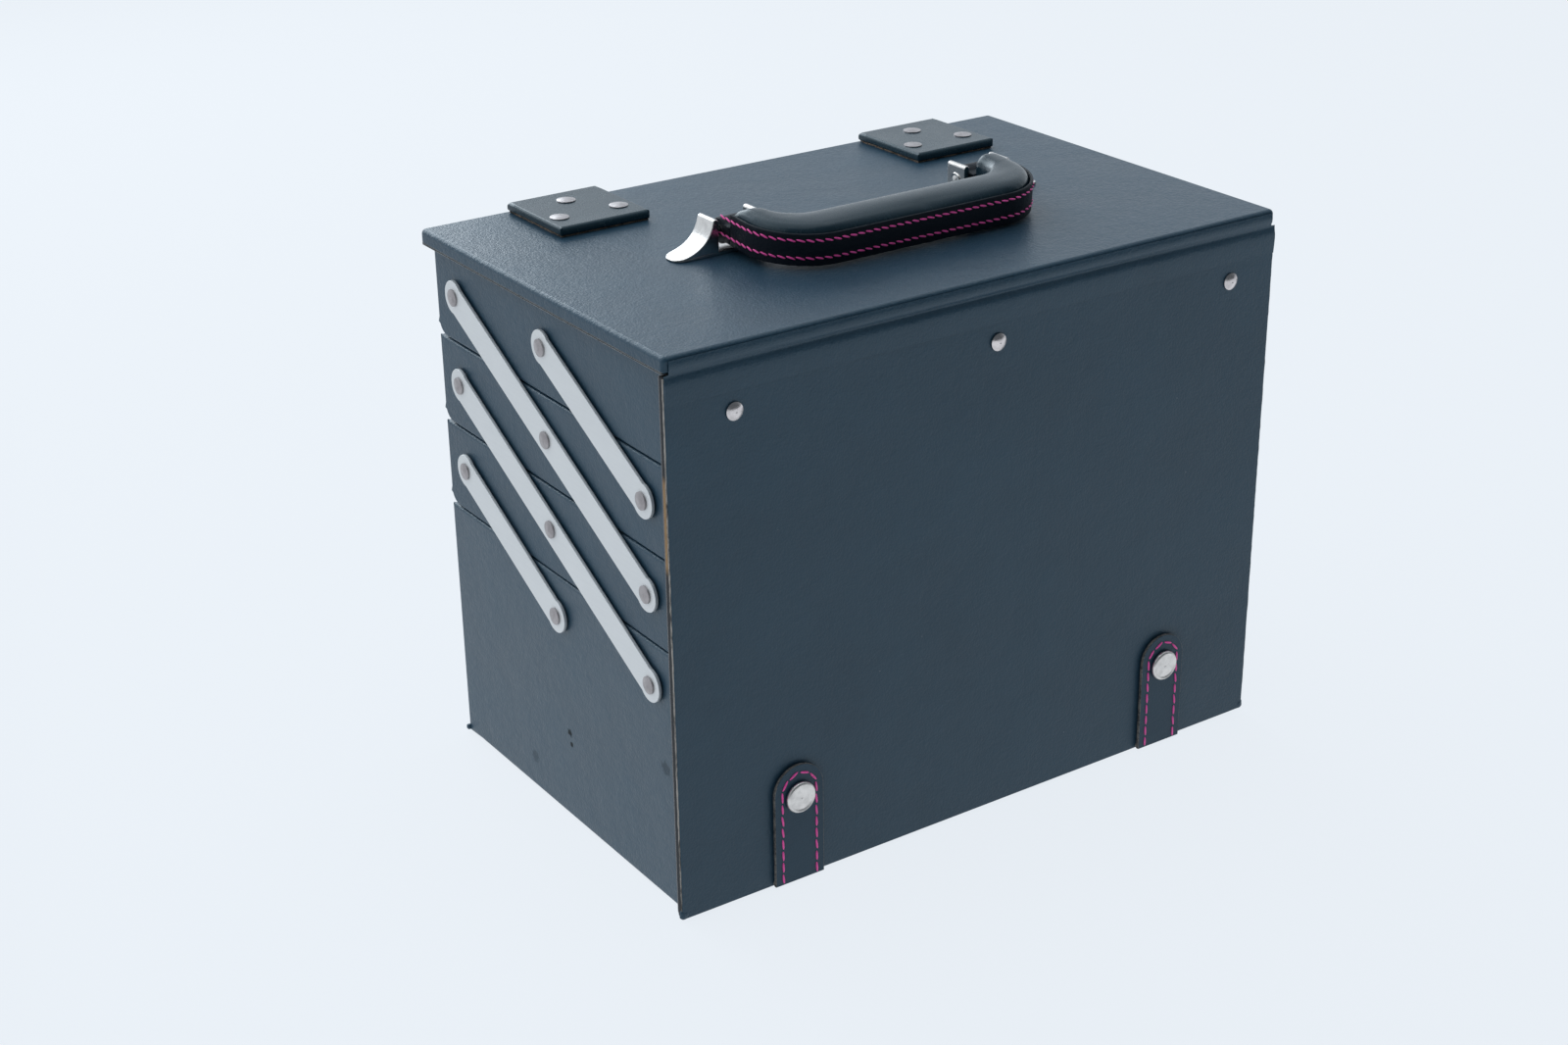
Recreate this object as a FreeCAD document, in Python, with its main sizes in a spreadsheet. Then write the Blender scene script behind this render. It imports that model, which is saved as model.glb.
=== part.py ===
"""Sewing box with three cantilever trays, a riveted front panel, a leather-hinged lid and a folding handle.

Millimetres. Origin on the floor under the middle of the base, +Z up, +X along the length,
front towards -Y. The box is drawn closed, with the handle folded forward on the lid.
"""
import FreeCAD, Part
import math
import os

from FreeCAD import Placement, Rotation, Vector

os.makedirs("parts", exist_ok=True)
doc = FreeCAD.newDocument("sewing_box")
sheet = doc.addObject("Spreadsheet::Sheet", "sizes")

SIZES = [
    # the stack of boxes
    ("body_length", 322.0), ("body_depth", 203.0), ("body_shift", 1.1), ("base_height", 125.2),
    ("tray_pitch", 42.8), ("tray_gap", 0.6), ("board", 3.0), ("skin", 0.8), ("felt", 0.8),
    ("heel_radius", 7.0), ("sole_thickness", 1.6), ("sole_inset", 2.0),
    ("lining_drop", 1.0),
    # the cantilever arms and their pivots
    ("pivot_spacing", 81.0), ("pivot_drop", 18.8), ("arm_width", 14.8), ("arm_end_radius", 8.0),
    ("arm_thickness", 1.5), ("washer_thickness", 0.8), ("washer_radius", 5.5), ("side_play", 0.1),
    ("shank_radius", 2.0), ("pin_play", 0.05), ("rivet_head_radius", 4.0), ("rivet_head_height", 1.3),
    ("clench_radius", 3.4), ("clench_height", 0.8),
    # the front panel and its leather cover
    ("cover_overhang", 4.5), ("panel_gap", 1.0), ("panel_board", 3.0), ("panel_felt", 0.6),
    ("panel_floor_gap", 1.9), ("panel_corner", 3.0), ("panel_rivet_spacing", 136.0), ("cover_shift", 3.0),
    ("panel_rivet_height", 1.8),
    # the lid
    ("rear_overhang", 3.2), ("lid_board", 5.6), ("lid_felt", 1.2), ("lid_corner", 2.5), ("lid_edge", 2.2),
    ("hinge_setback", 0.5), ("spine_height", 6.0), ("lid_felt_inset", 1.5),
    # the riveted tabs at the back of the lid
    ("tab_spacing", 100.5), ("tab_length", 47.4), ("tab_depth", 50.0), ("tab_thickness", 4.6),
    ("tab_corner", 1.6), ("tab_rivet_radius", 4.5), ("tab_rivet_height", 0.9), ("tab_rivet_spread", 15.6),
    ("tab_rivet_front", 15.0), ("tab_rivet_rear", 36.5), ("tab_rivet_length", 4.0),
    # straps and snaps
    ("strap_spacing", 106.5), ("strap_shift", 1.2), ("strap_width", 26.0), ("strap_thickness", 1.6),
    ("strap_top", 60.5), ("strap_tail", 46.0), ("strap_tail_gap", 0.3), ("strap_lift", 0.7),
    ("snap_height", 45.0), ("snap_radius", 7.5),
    ("snap_thickness", 2.6), ("stud_radius", 3.0), ("rear_strap_drop", 42.0),
    ("rear_snap_drop", 27.0), ("stud_play", 0.2),
    # the handle
    ("handle_half", 76.0), ("handle_reach", 51.0), ("handle_depth", 24.0), ("handle_thickness", 18.0),
    ("handle_corner", 30.0), ("handle_arm_width", 15.5), ("handle_band", 1.6), ("band_height", 14.0),
    ("handle_tilt", 3.5), ("handle_end_radius", 6.0), ("handle_end_width", 16.5),
    ("grip_start", 9.0), ("grip_lift", 4.7),
    ("post_inner", 56.0), ("post_wall", 3.0), ("post_outer", 83.0), ("post_foot", 102.0),
    ("post_width", 13.0), ("post_height", 16.5), ("post_plate", 2.0), ("handle_pin_height", 9.0),
    ("handle_pin_back", -3.0), ("handle_pin_head", 3.3),
]
for row, (alias, size) in enumerate(SIZES, start=1):
    sheet.set(f"A{row}", alias)
    sheet.set(f"B{row}", str(size))
    sheet.setAlias(f"B{row}", alias)
doc.recompute()
size = {alias: float(sheet.get(alias)) for alias, _ in SIZES}

# places that follow from the driving sizes
SKIN_OUT_X = size["body_length"] / 2
FRONT_Y = size["body_shift"] - size["body_depth"] / 2
REAR_Y = size["body_shift"] + size["body_depth"] / 2
TRAY_FLOOR = [size["base_height"] + size["tray_gap"] + n * size["tray_pitch"] for n in range(3)]
TRAY_RIM = [floor + size["tray_pitch"] - size["tray_gap"] for floor in TRAY_FLOOR]
LID_UNDERSIDE = TRAY_FLOOR[2] + size["tray_pitch"]
LID_THICKNESS = size["skin"] + size["lid_board"] + size["lid_felt"]
LID_TOP = LID_UNDERSIDE + LID_THICKNESS
PANEL_IN_Y = FRONT_Y - size["panel_gap"]
PANEL_OUT_Y = PANEL_IN_Y - size["panel_felt"] - size["panel_board"] - size["skin"]
PANEL_TOP = LID_UNDERSIDE - size["tray_gap"]
LID_FRONT_Y = PANEL_OUT_Y + size["hinge_setback"]
LID_REAR_Y = REAR_Y + size["rear_overhang"]
HALF_COVER = SKIN_OUT_X + size["cover_overhang"]
COVER_LENGTH = "sizes.body_length + 2 * sizes.cover_overhang"
PIVOT_Z = {
    "base": size["base_height"] - size["pivot_drop"],
    "tray_3": TRAY_RIM[0] - size["pivot_drop"],
    "tray_2": TRAY_RIM[1] - size["pivot_drop"],
    "tray_1": TRAY_RIM[2] - size["pivot_drop"],
}
SPACING = size["pivot_spacing"]
PIVOTS_Y = {
    "base": (-SPACING, 0.0),
    "tray_3": (-SPACING, 0.0, SPACING),
    "tray_2": (-SPACING, 0.0, SPACING),
    "tray_1": (0.0, SPACING),
}
made = []


def place(thing, x=0.0, y=0.0, z=0.0, axis=None, angle=0.0):
    """Put an object at a point, turned about an axis through that point."""
    turn = Rotation(axis, angle) if axis else Rotation()
    thing.Placement = Placement(Vector(x, y, z), turn)


def bind(thing, **sizes):
    """Bind an object's sizes to expressions of the sheet; bare words are aliases."""
    for name, text in sizes.items():
        thing.setExpression(name, text)


def new_body(name):
    body = doc.addObject("PartDesign::Body", name)
    body.Label = name
    made.append(body)
    return body


def block(body, kind, corner, length, width, height):
    """A box feature from its low corner; kind is Additive or Subtractive."""
    feature = body.newObject(f"PartDesign::{kind}Box", f"{body.Label}_{kind}_block")
    bind(feature, Length=length, Width=width, Height=height)
    place(feature, *corner)
    return feature


def rod(body, kind, start, radius, length, axis=None, angle=0.0):
    """A cylinder feature along +Z from its start, or turned about an axis there."""
    feature = body.newObject(f"PartDesign::{kind}Cylinder", f"{body.Label}_{kind}_rod")
    bind(feature, Radius=radius, Height=length)
    place(feature, *start, axis=axis, angle=angle)
    return feature


def edges_where(shape, test):
    """Names of the edges whose middle point passes the test."""
    names = []
    for number, edge in enumerate(shape.Edges, start=1):
        middle = edge.valueAt((edge.FirstParameter + edge.LastParameter) / 2)
        if test(middle, edge):
            names.append(f"Edge{number}")
    return names


def round_edges(body, radius, test):
    """Fillet the edges that pass the test, with a radius bound to the sheet."""
    doc.recompute()
    base = body.Tip
    names = edges_where(base.Shape, test)
    if not names:
        raise RuntimeError(f"{body.Label}: no edge to round")
    fillet = body.newObject("PartDesign::Fillet", f"{body.Label}_round")
    fillet.Base = (base, names)
    bind(fillet, Radius=radius)
    body.Tip = fillet
    doc.recompute()


def near(value, target):
    return abs(value - target) < 0.01


def group_of_solids(name, solids):
    """Identical small pieces in one node, each its own solid."""
    group = doc.addObject("Part::Feature", name)
    group.Label = name
    group.Shape = Part.makeCompound(solids)
    made.append(group)


def turned(points, start, direction):
    """A solid turned from a half profile of (radius, height) points, standing along a direction.

    A point with a third value is the middle of an arc to the next point.
    """
    edges = []
    flat = [Vector(point[0], 0, point[1]) for point in points]
    count = len(points)
    index = 0
    while index < count - 1:
        if len(points[index + 1]) == 3:
            edges.append(Part.Arc(flat[index], flat[index + 1], flat[index + 2]).toShape())
            index += 2
        else:
            edges.append(Part.LineSegment(flat[index], flat[index + 1]).toShape())
            index += 1
    edges.append(Part.LineSegment(flat[-1], flat[0]).toShape())
    solid = Part.Face(Part.Wire(edges)).revolve(Vector(), Vector(0, 0, 1), 360)
    solid.Placement = Placement(Vector(*start), Rotation(Vector(0, 0, 1), Vector(*direction)))
    return solid


def dome_over(radius, foot, height):
    """The half profile of a spherical dome: its rim, the middle of its arc and its top."""
    sphere = (radius ** 2 + height ** 2) / (2 * height)
    half_angle = math.asin(radius / sphere) / 2
    middle = (sphere * math.sin(half_angle), foot + height - sphere * (1 - math.cos(half_angle)), "arc")
    return [(radius, foot), middle, (0, foot + height)]


def rivet(start, direction, grip, head_radius, head_height, clenched=True, dome=0.45):
    """A rivet whose shank runs from its tail, at start, along direction to its domed head."""
    shank = size["shank_radius"]
    clench_radius, clench_height = size["clench_radius"], size["clench_height"]
    rim = head_height * (1 - dome)
    tail = [(0, 0)]
    if clenched:
        tail = [(0, -clench_height), (clench_radius, -clench_height), (clench_radius, 0)]
    return turned(
        [
            *tail, (shank, 0), (shank, grip), (head_radius, grip),
            *dome_over(head_radius, grip + rim, head_height - rim),
        ],
        start, direction,
    )


# ---------------------------------------------------------------- boxes: shell, cover, lining
def evaluate(text):
    """The value of an expression of the sheet, for the places that follow from it."""
    if not text:
        return 0.0
    words = text.replace("(", " ( ").replace(")", " ) ").split()
    total, sign = 0.0, 1.0
    for word in words:
        if word in "()":
            continue
        if word in "+-":
            sign = 1.0 if word == "+" else -1.0
            continue
        total += sign * (size[word[6:]] if word.startswith("sizes.") else float(word))
    return total


def tub(name, floor, rim, inset, wall, floor_wall, heel, has_floor=True, pivots=(), pivot_z=0.0):
    """An open tub inset all round from the leather's outside, with a wall and a floor.

    inset, wall and floor_wall are expressions of the sheet. heel rounds the lower rear edge.
    """
    inset_mm = evaluate(inset)
    wall_mm = evaluate(wall)
    low_x = -SKIN_OUT_X + inset_mm
    low_y = FRONT_Y + inset_mm
    body = new_body(name)
    block(
        body, "Additive", (low_x, low_y, floor),
        f"sizes.body_length - 2 * ({inset})", f"sizes.body_depth - 2 * ({inset})",
        f"{rim - floor}",
    )
    if heel:
        round_edges(
            body, heel,
            lambda middle, edge: near(middle.z, floor) and near(middle.y, REAR_Y - inset_mm),
        )
    hollow_floor = floor + evaluate(floor_wall) if has_floor else floor - 1.0
    block(
        body, "Subtractive", (low_x + wall_mm, low_y + wall_mm, hollow_floor),
        f"sizes.body_length - 2 * ({inset}) - 2 * ({wall})",
        f"sizes.body_depth - 2 * ({inset}) - 2 * ({wall})",
        f"{rim - hollow_floor + 1.0}",
    )
    for y in pivots:
        rod(
            body, "Subtractive", (-SKIN_OUT_X - 1.0, y, pivot_z),
            "sizes.shank_radius", "sizes.body_length + 2", axis=Vector(0, 1, 0), angle=90,
        )
    doc.recompute()
    return body


def covered_box(name, floor, rim, pivot_z, pivots, heel):
    """One folded board box with its leather cover outside and its felt lining inside."""
    board_floor = floor + size["skin"]
    board_rim = rim - size["skin"]
    tub(
        f"{name}_shell", board_floor, board_rim, "sizes.skin", "sizes.board", "sizes.board",
        "sizes.heel_radius - sizes.skin" if heel else "", pivots=pivots, pivot_z=pivot_z,
    )
    cover = new_body(f"{name}_cover")
    block(
        cover, "Additive", (-SKIN_OUT_X, FRONT_Y, floor),
        "sizes.body_length", "sizes.body_depth", f"{rim - floor}",
    )
    if heel:
        round_edges(
            cover, "sizes.heel_radius",
            lambda middle, edge: near(middle.z, floor) and near(middle.y, REAR_Y),
        )
    core = doc.addObject("PartDesign::Body", f"{name}_cover_core")
    block(
        core, "Additive", (-SKIN_OUT_X + size["skin"], FRONT_Y + size["skin"], board_floor),
        "sizes.body_length - 2 * sizes.skin", "sizes.body_depth - 2 * sizes.skin",
        f"{board_rim - board_floor}",
    )
    if heel:
        round_edges(
            core, "sizes.heel_radius - sizes.skin",
            lambda middle, edge: near(middle.z, board_floor) and near(middle.y, REAR_Y - size["skin"]),
        )
    carve = cover.newObject("PartDesign::Boolean", f"{name}_cover_carve")
    carve.Type = "Cut"
    carve.addObjects([core])
    cover.Tip = carve
    doc.recompute()
    inside = size["skin"] + size["board"]
    block(
        cover, "Subtractive", (-SKIN_OUT_X + inside, FRONT_Y + inside, board_rim - 1.0),
        "sizes.body_length - 2 * sizes.skin - 2 * sizes.board",
        "sizes.body_depth - 2 * sizes.skin - 2 * sizes.board", "sizes.skin + 2",
    )
    for y in pivots:
        rod(
            cover, "Subtractive", (-SKIN_OUT_X - 1.0, y, pivot_z),
            "sizes.shank_radius", "sizes.body_length + 2", axis=Vector(0, 1, 0), angle=90,
        )
    tub(
        f"{name}_lining", board_floor + size["board"], board_rim - size["lining_drop"],
        "sizes.skin + sizes.board", "sizes.felt", "sizes.felt", "", pivots=pivots, pivot_z=pivot_z,
    )


covered_box("base", size["sole_thickness"], size["base_height"], PIVOT_Z["base"], PIVOTS_Y["base"], False)
for number, floor, rim in zip((3, 2, 1), TRAY_FLOOR, TRAY_RIM):
    tray = f"tray_{number}"
    covered_box(tray, floor, rim, PIVOT_Z[tray], PIVOTS_Y[tray], True)

# ---------------------------------------------------------------- pivots: rivets and washers
CLENCH_X = SKIN_OUT_X - size["skin"] - size["board"] - size["felt"]
ARM_IN_X = SKIN_OUT_X + size["washer_thickness"] + size["side_play"]
HEAD_X = ARM_IN_X + size["arm_thickness"] + size["side_play"]
for box, pivots in PIVOTS_Y.items():
    rivets = []
    washers = []
    for side in (-1, 1):
        for y in pivots:
            rivets.append(
                rivet(
                    (side * CLENCH_X, y, PIVOT_Z[box]), (side, 0, 0), HEAD_X - CLENCH_X,
                    size["rivet_head_radius"], size["rivet_head_height"],
                )
            )
            washers.append(
                turned(
                    [
                        (size["shank_radius"], 0), (size["washer_radius"], 0),
                        (size["washer_radius"], size["washer_thickness"]),
                        (size["shank_radius"], size["washer_thickness"]),
                    ],
                    (side * SKIN_OUT_X, y, PIVOT_Z[box]), (side, 0, 0),
                )
            )
    group_of_solids(f"{box}_rivets", rivets)
    group_of_solids(f"{box}_washers", washers)

# ---------------------------------------------------------------- cantilever arms
ARM_REACH = math.hypot(SPACING, size["tray_pitch"])
ARM_SLOPE = math.degrees(math.atan2(size["tray_pitch"], SPACING))
REACH_TEXT = "sqrt(sizes.pivot_spacing ^ 2 + sizes.tray_pitch ^ 2)"


def arm(name, side, foot_y, foot_z, bays):
    """A flat steel strip with a round eye at each pivot, leaning back from its lowest pivot."""
    body = new_body(name)
    block(
        body, "Additive", (0, -size["arm_width"] / 2, 0),
        f"{bays} * {REACH_TEXT}", "sizes.arm_width", "sizes.arm_thickness",
    )
    for end in (0, bays):
        rod(body, "Additive", (end * ARM_REACH, 0, 0), "sizes.arm_end_radius", "sizes.arm_thickness")
    for hole in range(bays + 1):
        rod(
            body, "Subtractive", (hole * ARM_REACH, 0, -1.0),
            "sizes.shank_radius + sizes.pin_play", "sizes.arm_thickness + 2",
        )
    doc.recompute()
    stand = Rotation(Vector(0, 1, 0), Vector(0, 0, 1), Vector(1, 0, 0))
    lean = Rotation(Vector(1, 0, 0), ARM_SLOPE)
    x = ARM_IN_X if side > 0 else -ARM_IN_X - size["arm_thickness"]
    body.Placement = Placement(Vector(x, foot_y, foot_z), lean * stand)


for side, hand in ((-1, "left"), (1, "right")):
    arm(f"upper_long_arm_{hand}", side, -SPACING, PIVOT_Z["tray_3"], 2)
    arm(f"upper_short_arm_{hand}", side, -SPACING, PIVOT_Z["tray_2"], 1)
    arm(f"lower_long_arm_{hand}", side, -SPACING, PIVOT_Z["base"], 2)
    arm(f"lower_short_arm_{hand}", side, 0.0, PIVOT_Z["base"], 1)

# ---------------------------------------------------------------- sole and strap tails
STRAP_X = {
    "left": size["strap_shift"] - size["strap_spacing"],
    "right": size["strap_shift"] + size["strap_spacing"],
}
STRAP_OUT_Y = PANEL_OUT_Y - size["strap_lift"] - size["strap_thickness"]
STRAP_AXIS_Y = PANEL_OUT_Y - size["strap_lift"] - size["strap_thickness"] / 2
STRAP_AXIS_Z = size["strap_thickness"] / 2
TAIL_FRONT_Y = STRAP_AXIS_Y + size["strap_thickness"] / 2 + size["strap_tail_gap"]
SOLE_INSET = size["sole_inset"]
sole = new_body("base_sole")
block(
    sole, "Additive", (-SKIN_OUT_X + SOLE_INSET, FRONT_Y + SOLE_INSET, 0),
    f"sizes.body_length - {2 * SOLE_INSET}", f"sizes.body_depth - {2 * SOLE_INSET}", "sizes.sole_thickness",
)
notch_length = f"sizes.strap_tail + {1.0 - (FRONT_Y - TAIL_FRONT_Y)}"
for x in STRAP_X.values():
    block(
        sole, "Subtractive", (x - size["strap_width"] / 2, FRONT_Y - 1.0, -1.0),
        "sizes.strap_width", notch_length, "sizes.sole_thickness + 2",
    )
doc.recompute()
for hand, x in STRAP_X.items():
    tail = new_body(f"front_strap_tail_{hand}")
    block(
        tail, "Additive", (x - size["strap_width"] / 2, TAIL_FRONT_Y, 0),
        "sizes.strap_width", "sizes.strap_tail", "sizes.strap_thickness",
    )

# ---------------------------------------------------------------- front straps and their snaps


def strap_flap(name, x, y, foot_z, tip_z, axis_radius):
    """An upright leather strap end: a round foot along its hinge line and a half-round tip."""
    half = size["strap_width"] / 2
    up = 1 if tip_z > foot_z else -1
    body = new_body(name)
    straight = abs(tip_z - foot_z) - half
    low_z = foot_z if up > 0 else foot_z - straight
    block(
        body, "Additive", (x - half, y - size["strap_thickness"] / 2, low_z),
        "sizes.strap_width", "sizes.strap_thickness", f"{straight}",
    )
    rod(
        body, "Additive", (x, y + size["strap_thickness"] / 2, foot_z + up * straight),
        "sizes.strap_width / 2", "sizes.strap_thickness", axis=Vector(1, 0, 0), angle=90,
    )
    rod(
        body, "Additive", (x - half, y, foot_z), axis_radius, "sizes.strap_width",
        axis=Vector(0, 1, 0), angle=90,
    )
    doc.recompute()
    return body


def snap_cap(name, seat, direction):
    """A snap cap with a rolled rim and a slightly sunken disc, seated on the strap."""
    radius = size["snap_radius"]
    thick = size["snap_thickness"]
    cap = turned(
        [
            (0, 0), (radius * 0.82, 0), (radius, thick * 0.35), (radius * 0.98, thick * 0.75, "arc"),
            (radius * 0.86, thick), (radius * 0.74, thick * 0.86), (0, thick * 0.82),
        ],
        seat, direction,
    )
    group_of_solids(name, [cap])


for hand, x in STRAP_X.items():
    strap_flap(
        f"front_strap_{hand}", x, STRAP_AXIS_Y, STRAP_AXIS_Z, size["strap_top"], "sizes.strap_thickness / 2"
    )
    snap_cap(f"front_snap_cap_{hand}", (x, STRAP_OUT_Y, size["snap_height"]), (0, -1, 0))


def stud(seat, direction, reach):
    """The lower half of a snap: a waisted post on a thin flange."""
    radius = size["stud_radius"]
    return turned(
        [
            (0, 0), (radius * 1.5, 0), (radius * 1.5, 0.2), (radius * 0.8, 0.3),
            (radius * 0.9, reach), (0, reach),
        ],
        seat, direction,
    )


STUD_REACH = size["strap_lift"] - size["stud_play"]
snap_studs = [stud((x, PANEL_OUT_Y, size["snap_height"]), (0, -1, 0), STUD_REACH) for x in STRAP_X.values()]

# ---------------------------------------------------------------- front panel: cover, board, felt
PANEL_LAYERS = [
    ("panel_lining", PANEL_IN_Y - size["panel_felt"], "sizes.panel_felt"),
    ("panel_board", PANEL_IN_Y - size["panel_felt"] - size["panel_board"], "sizes.panel_board"),
    ("panel_cover", PANEL_OUT_Y, "sizes.skin"),
]
RIVET_Z = (TRAY_FLOOR[2] + TRAY_RIM[2]) / 2
RIVETS_X = [size["cover_shift"] + n * size["panel_rivet_spacing"] for n in (-1, 0, 1)]
for name, low_y, thickness in PANEL_LAYERS:
    layer = new_body(name)
    block(
        layer, "Additive", (-HALF_COVER, low_y, size["panel_floor_gap"]),
        COVER_LENGTH, thickness, f"{PANEL_TOP - size['panel_floor_gap']}",
    )
    round_edges(
        layer, "sizes.panel_corner",
        lambda middle, edge: near(middle.z, size["panel_floor_gap"]) and near(abs(middle.x), HALF_COVER),
    )
    for x in RIVETS_X:
        rod(
            layer, "Subtractive", (x, low_y - 1.0, RIVET_Z), "sizes.shank_radius",
            f"{thickness} + 2", axis=Vector(1, 0, 0), angle=-90,
        )
    doc.recompute()

TRAY_INSIDE_Y = FRONT_Y + size["skin"] + size["board"] + size["felt"]
for name in ("tray_1_cover", "tray_1_shell", "tray_1_lining"):
    wall = doc.getObject(name)
    for x in RIVETS_X:
        rod(
            wall, "Subtractive", (x, FRONT_Y - 1.0, RIVET_Z), "sizes.shank_radius",
            f"{TRAY_INSIDE_Y - FRONT_Y + 2.0}", axis=Vector(1, 0, 0), angle=-90,
        )
    doc.recompute()
group_of_solids(
    "panel_rivets",
    [
        rivet(
            (x, TRAY_INSIDE_Y, RIVET_Z), (0, -1, 0), TRAY_INSIDE_Y - PANEL_OUT_Y,
            size["rivet_head_radius"], size["panel_rivet_height"], dome=0.7,
        )
        for x in RIVETS_X
    ],
)
group_of_solids(
    "panel_spacers",
    [
        turned(
            [
                (size["shank_radius"], 0), (size["washer_radius"], 0),
                (size["washer_radius"], size["panel_gap"]), (size["shank_radius"], size["panel_gap"]),
            ],
            (x, FRONT_Y, RIVET_Z), (0, -1, 0),
        )
        for x in RIVETS_X
    ],
)

# ---------------------------------------------------------------- lid: board, cover, lining, spine
BOARD_FLOOR = LID_UNDERSIDE + size["lid_felt"]


def lid_slab(body, inset, low_z, height_text):
    """A flat slab of the lid, inset from its outside, with rounded plan corners."""
    block(
        body, "Additive", (-HALF_COVER + inset, LID_FRONT_Y + inset, low_z),
        f"{COVER_LENGTH} - {2 * inset}", f"{LID_REAR_Y - LID_FRONT_Y - 2 * inset}", height_text,
    )
    round_edges(
        body, f"sizes.lid_corner - {inset}",
        lambda middle, edge: near(abs(middle.x), HALF_COVER - inset)
        and (near(middle.y, LID_FRONT_Y + inset) or near(middle.y, LID_REAR_Y - inset)),
    )


lid_board = new_body("lid_board")
lid_slab(lid_board, size["skin"], BOARD_FLOOR, "sizes.lid_board")
lid_cover = new_body("lid_cover")
lid_slab(lid_cover, 0.0, BOARD_FLOOR, "sizes.lid_board + sizes.skin")
round_edges(
    lid_cover, "sizes.lid_edge",
    lambda middle, edge: near(middle.z, LID_TOP),
)
lid_core = doc.addObject("PartDesign::Body", "lid_cover_core")
lid_core.Label = "lid_cover_core"
lid_slab(lid_core, size["skin"], BOARD_FLOOR, "sizes.lid_board")
lid_carve = lid_cover.newObject("PartDesign::Boolean", "lid_cover_carve")
lid_carve.Type = "Cut"
lid_carve.addObjects([lid_core])
lid_cover.Tip = lid_carve
doc.recompute()
lid_lining = new_body("lid_lining")
lid_slab(lid_lining, size["lid_felt_inset"], LID_UNDERSIDE, "sizes.lid_felt")

spine = new_body("lid_spine")
block(
    spine, "Additive", (-HALF_COVER + size["lid_corner"], PANEL_OUT_Y, PANEL_TOP),
    f"{COVER_LENGTH} - 2 * sizes.lid_corner", "sizes.hinge_setback", "sizes.spine_height",
)

# ---------------------------------------------------------------- riveted tabs on the lid
TAB_X = {
    "left": size["cover_shift"] - size["tab_spacing"],
    "right": size["cover_shift"] + size["tab_spacing"],
}
TAB_FRONT_Y = LID_REAR_Y - size["lid_edge"] - size["tab_depth"]
tab_rivets = []
for hand, x in TAB_X.items():
    tab = new_body(f"lid_tab_{hand}")
    block(
        tab, "Additive", (x - size["tab_length"] / 2, TAB_FRONT_Y, LID_TOP),
        "sizes.tab_length", "sizes.tab_depth", "sizes.tab_thickness",
    )
    round_edges(
        tab, "sizes.tab_corner",
        lambda middle, edge: near(middle.z, LID_TOP + size["tab_thickness"] / 2)
        and near(middle.y, TAB_FRONT_Y),
    )
    round_edges(
        tab, "sizes.tab_thickness * 0.4",
        lambda middle, edge: near(middle.z, LID_TOP + size["tab_thickness"]),
    )
    spots = [
        (-size["tab_rivet_spread"], size["tab_rivet_front"]),
        (size["tab_rivet_spread"], size["tab_rivet_front"]),
        (0.0, size["tab_rivet_rear"]),
    ]
    tab_top = LID_TOP + size["tab_thickness"]
    for across, along in spots:
        rod(
            tab, "Subtractive", (x + across, TAB_FRONT_Y + along, tab_top - size["tab_rivet_length"]),
            "sizes.shank_radius", "sizes.tab_rivet_length + 1",
        )
        tab_rivets.append(
            rivet(
                (x + across, TAB_FRONT_Y + along, tab_top - size["tab_rivet_length"]), (0, 0, 1),
                size["tab_rivet_length"], size["tab_rivet_radius"], size["tab_rivet_height"],
                clenched=False, dome=0.5,
            )
        )
    doc.recompute()
group_of_solids("tab_rivets", tab_rivets)

# ---------------------------------------------------------------- rear closing straps
REAR_STRAP_Y = LID_REAR_Y + size["strap_lift"] + size["strap_thickness"] / 2
REAR_FOOT_Z = LID_TOP - size["strap_thickness"] / 2
REAR_SEAT_Y = REAR_STRAP_Y + size["strap_thickness"] / 2
rear_snap_z = REAR_FOOT_Z - size["rear_snap_drop"]
for hand, x in TAB_X.items():
    strap_flap(
        f"rear_strap_{hand}", x, REAR_STRAP_Y, REAR_FOOT_Z, REAR_FOOT_Z - size["rear_strap_drop"],
        "sizes.strap_thickness / 2",
    )
    snap_cap(f"rear_snap_cap_{hand}", (x, REAR_SEAT_Y, rear_snap_z), (0, 1, 0))
rear_reach = REAR_STRAP_Y - size["strap_thickness"] / 2 - size["stud_play"] - REAR_Y
snap_studs += [stud((x, REAR_Y, rear_snap_z), (0, 1, 0), rear_reach) for x in TAB_X.values()]
group_of_solids("snap_studs", snap_studs)

# ---------------------------------------------------------------- handle posts and pins
PIN_Y = size["handle_pin_back"]
PIN_Z = LID_TOP + size["handle_pin_height"]


def sketch_on(body, name, plane):
    """A sketch attached to one of its body's own origin planes."""
    sketch = body.newObject("Sketcher::SketchObject", name)
    face = next(item for item in body.Origin.OriginFeatures if item.Role == plane)
    sketch.AttachmentSupport = [(face, "")]
    sketch.MapMode = "FlatFace"
    return sketch


def outline(sketch, points):
    """Close an outline of (across, up) points; a third value marks the middle of an arc."""
    flat = [Vector(point[0], point[1], 0) for point in points]
    count = len(points)
    index = 0
    while index < count:
        following = (index + 1) % count
        if len(points[following]) == 3:
            end = (index + 2) % count
            sketch.addGeometry(Part.Arc(flat[index], flat[following], flat[end]), False)
            index += 2
        else:
            sketch.addGeometry(Part.LineSegment(flat[index], flat[following]), False)
            index += 1


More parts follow.
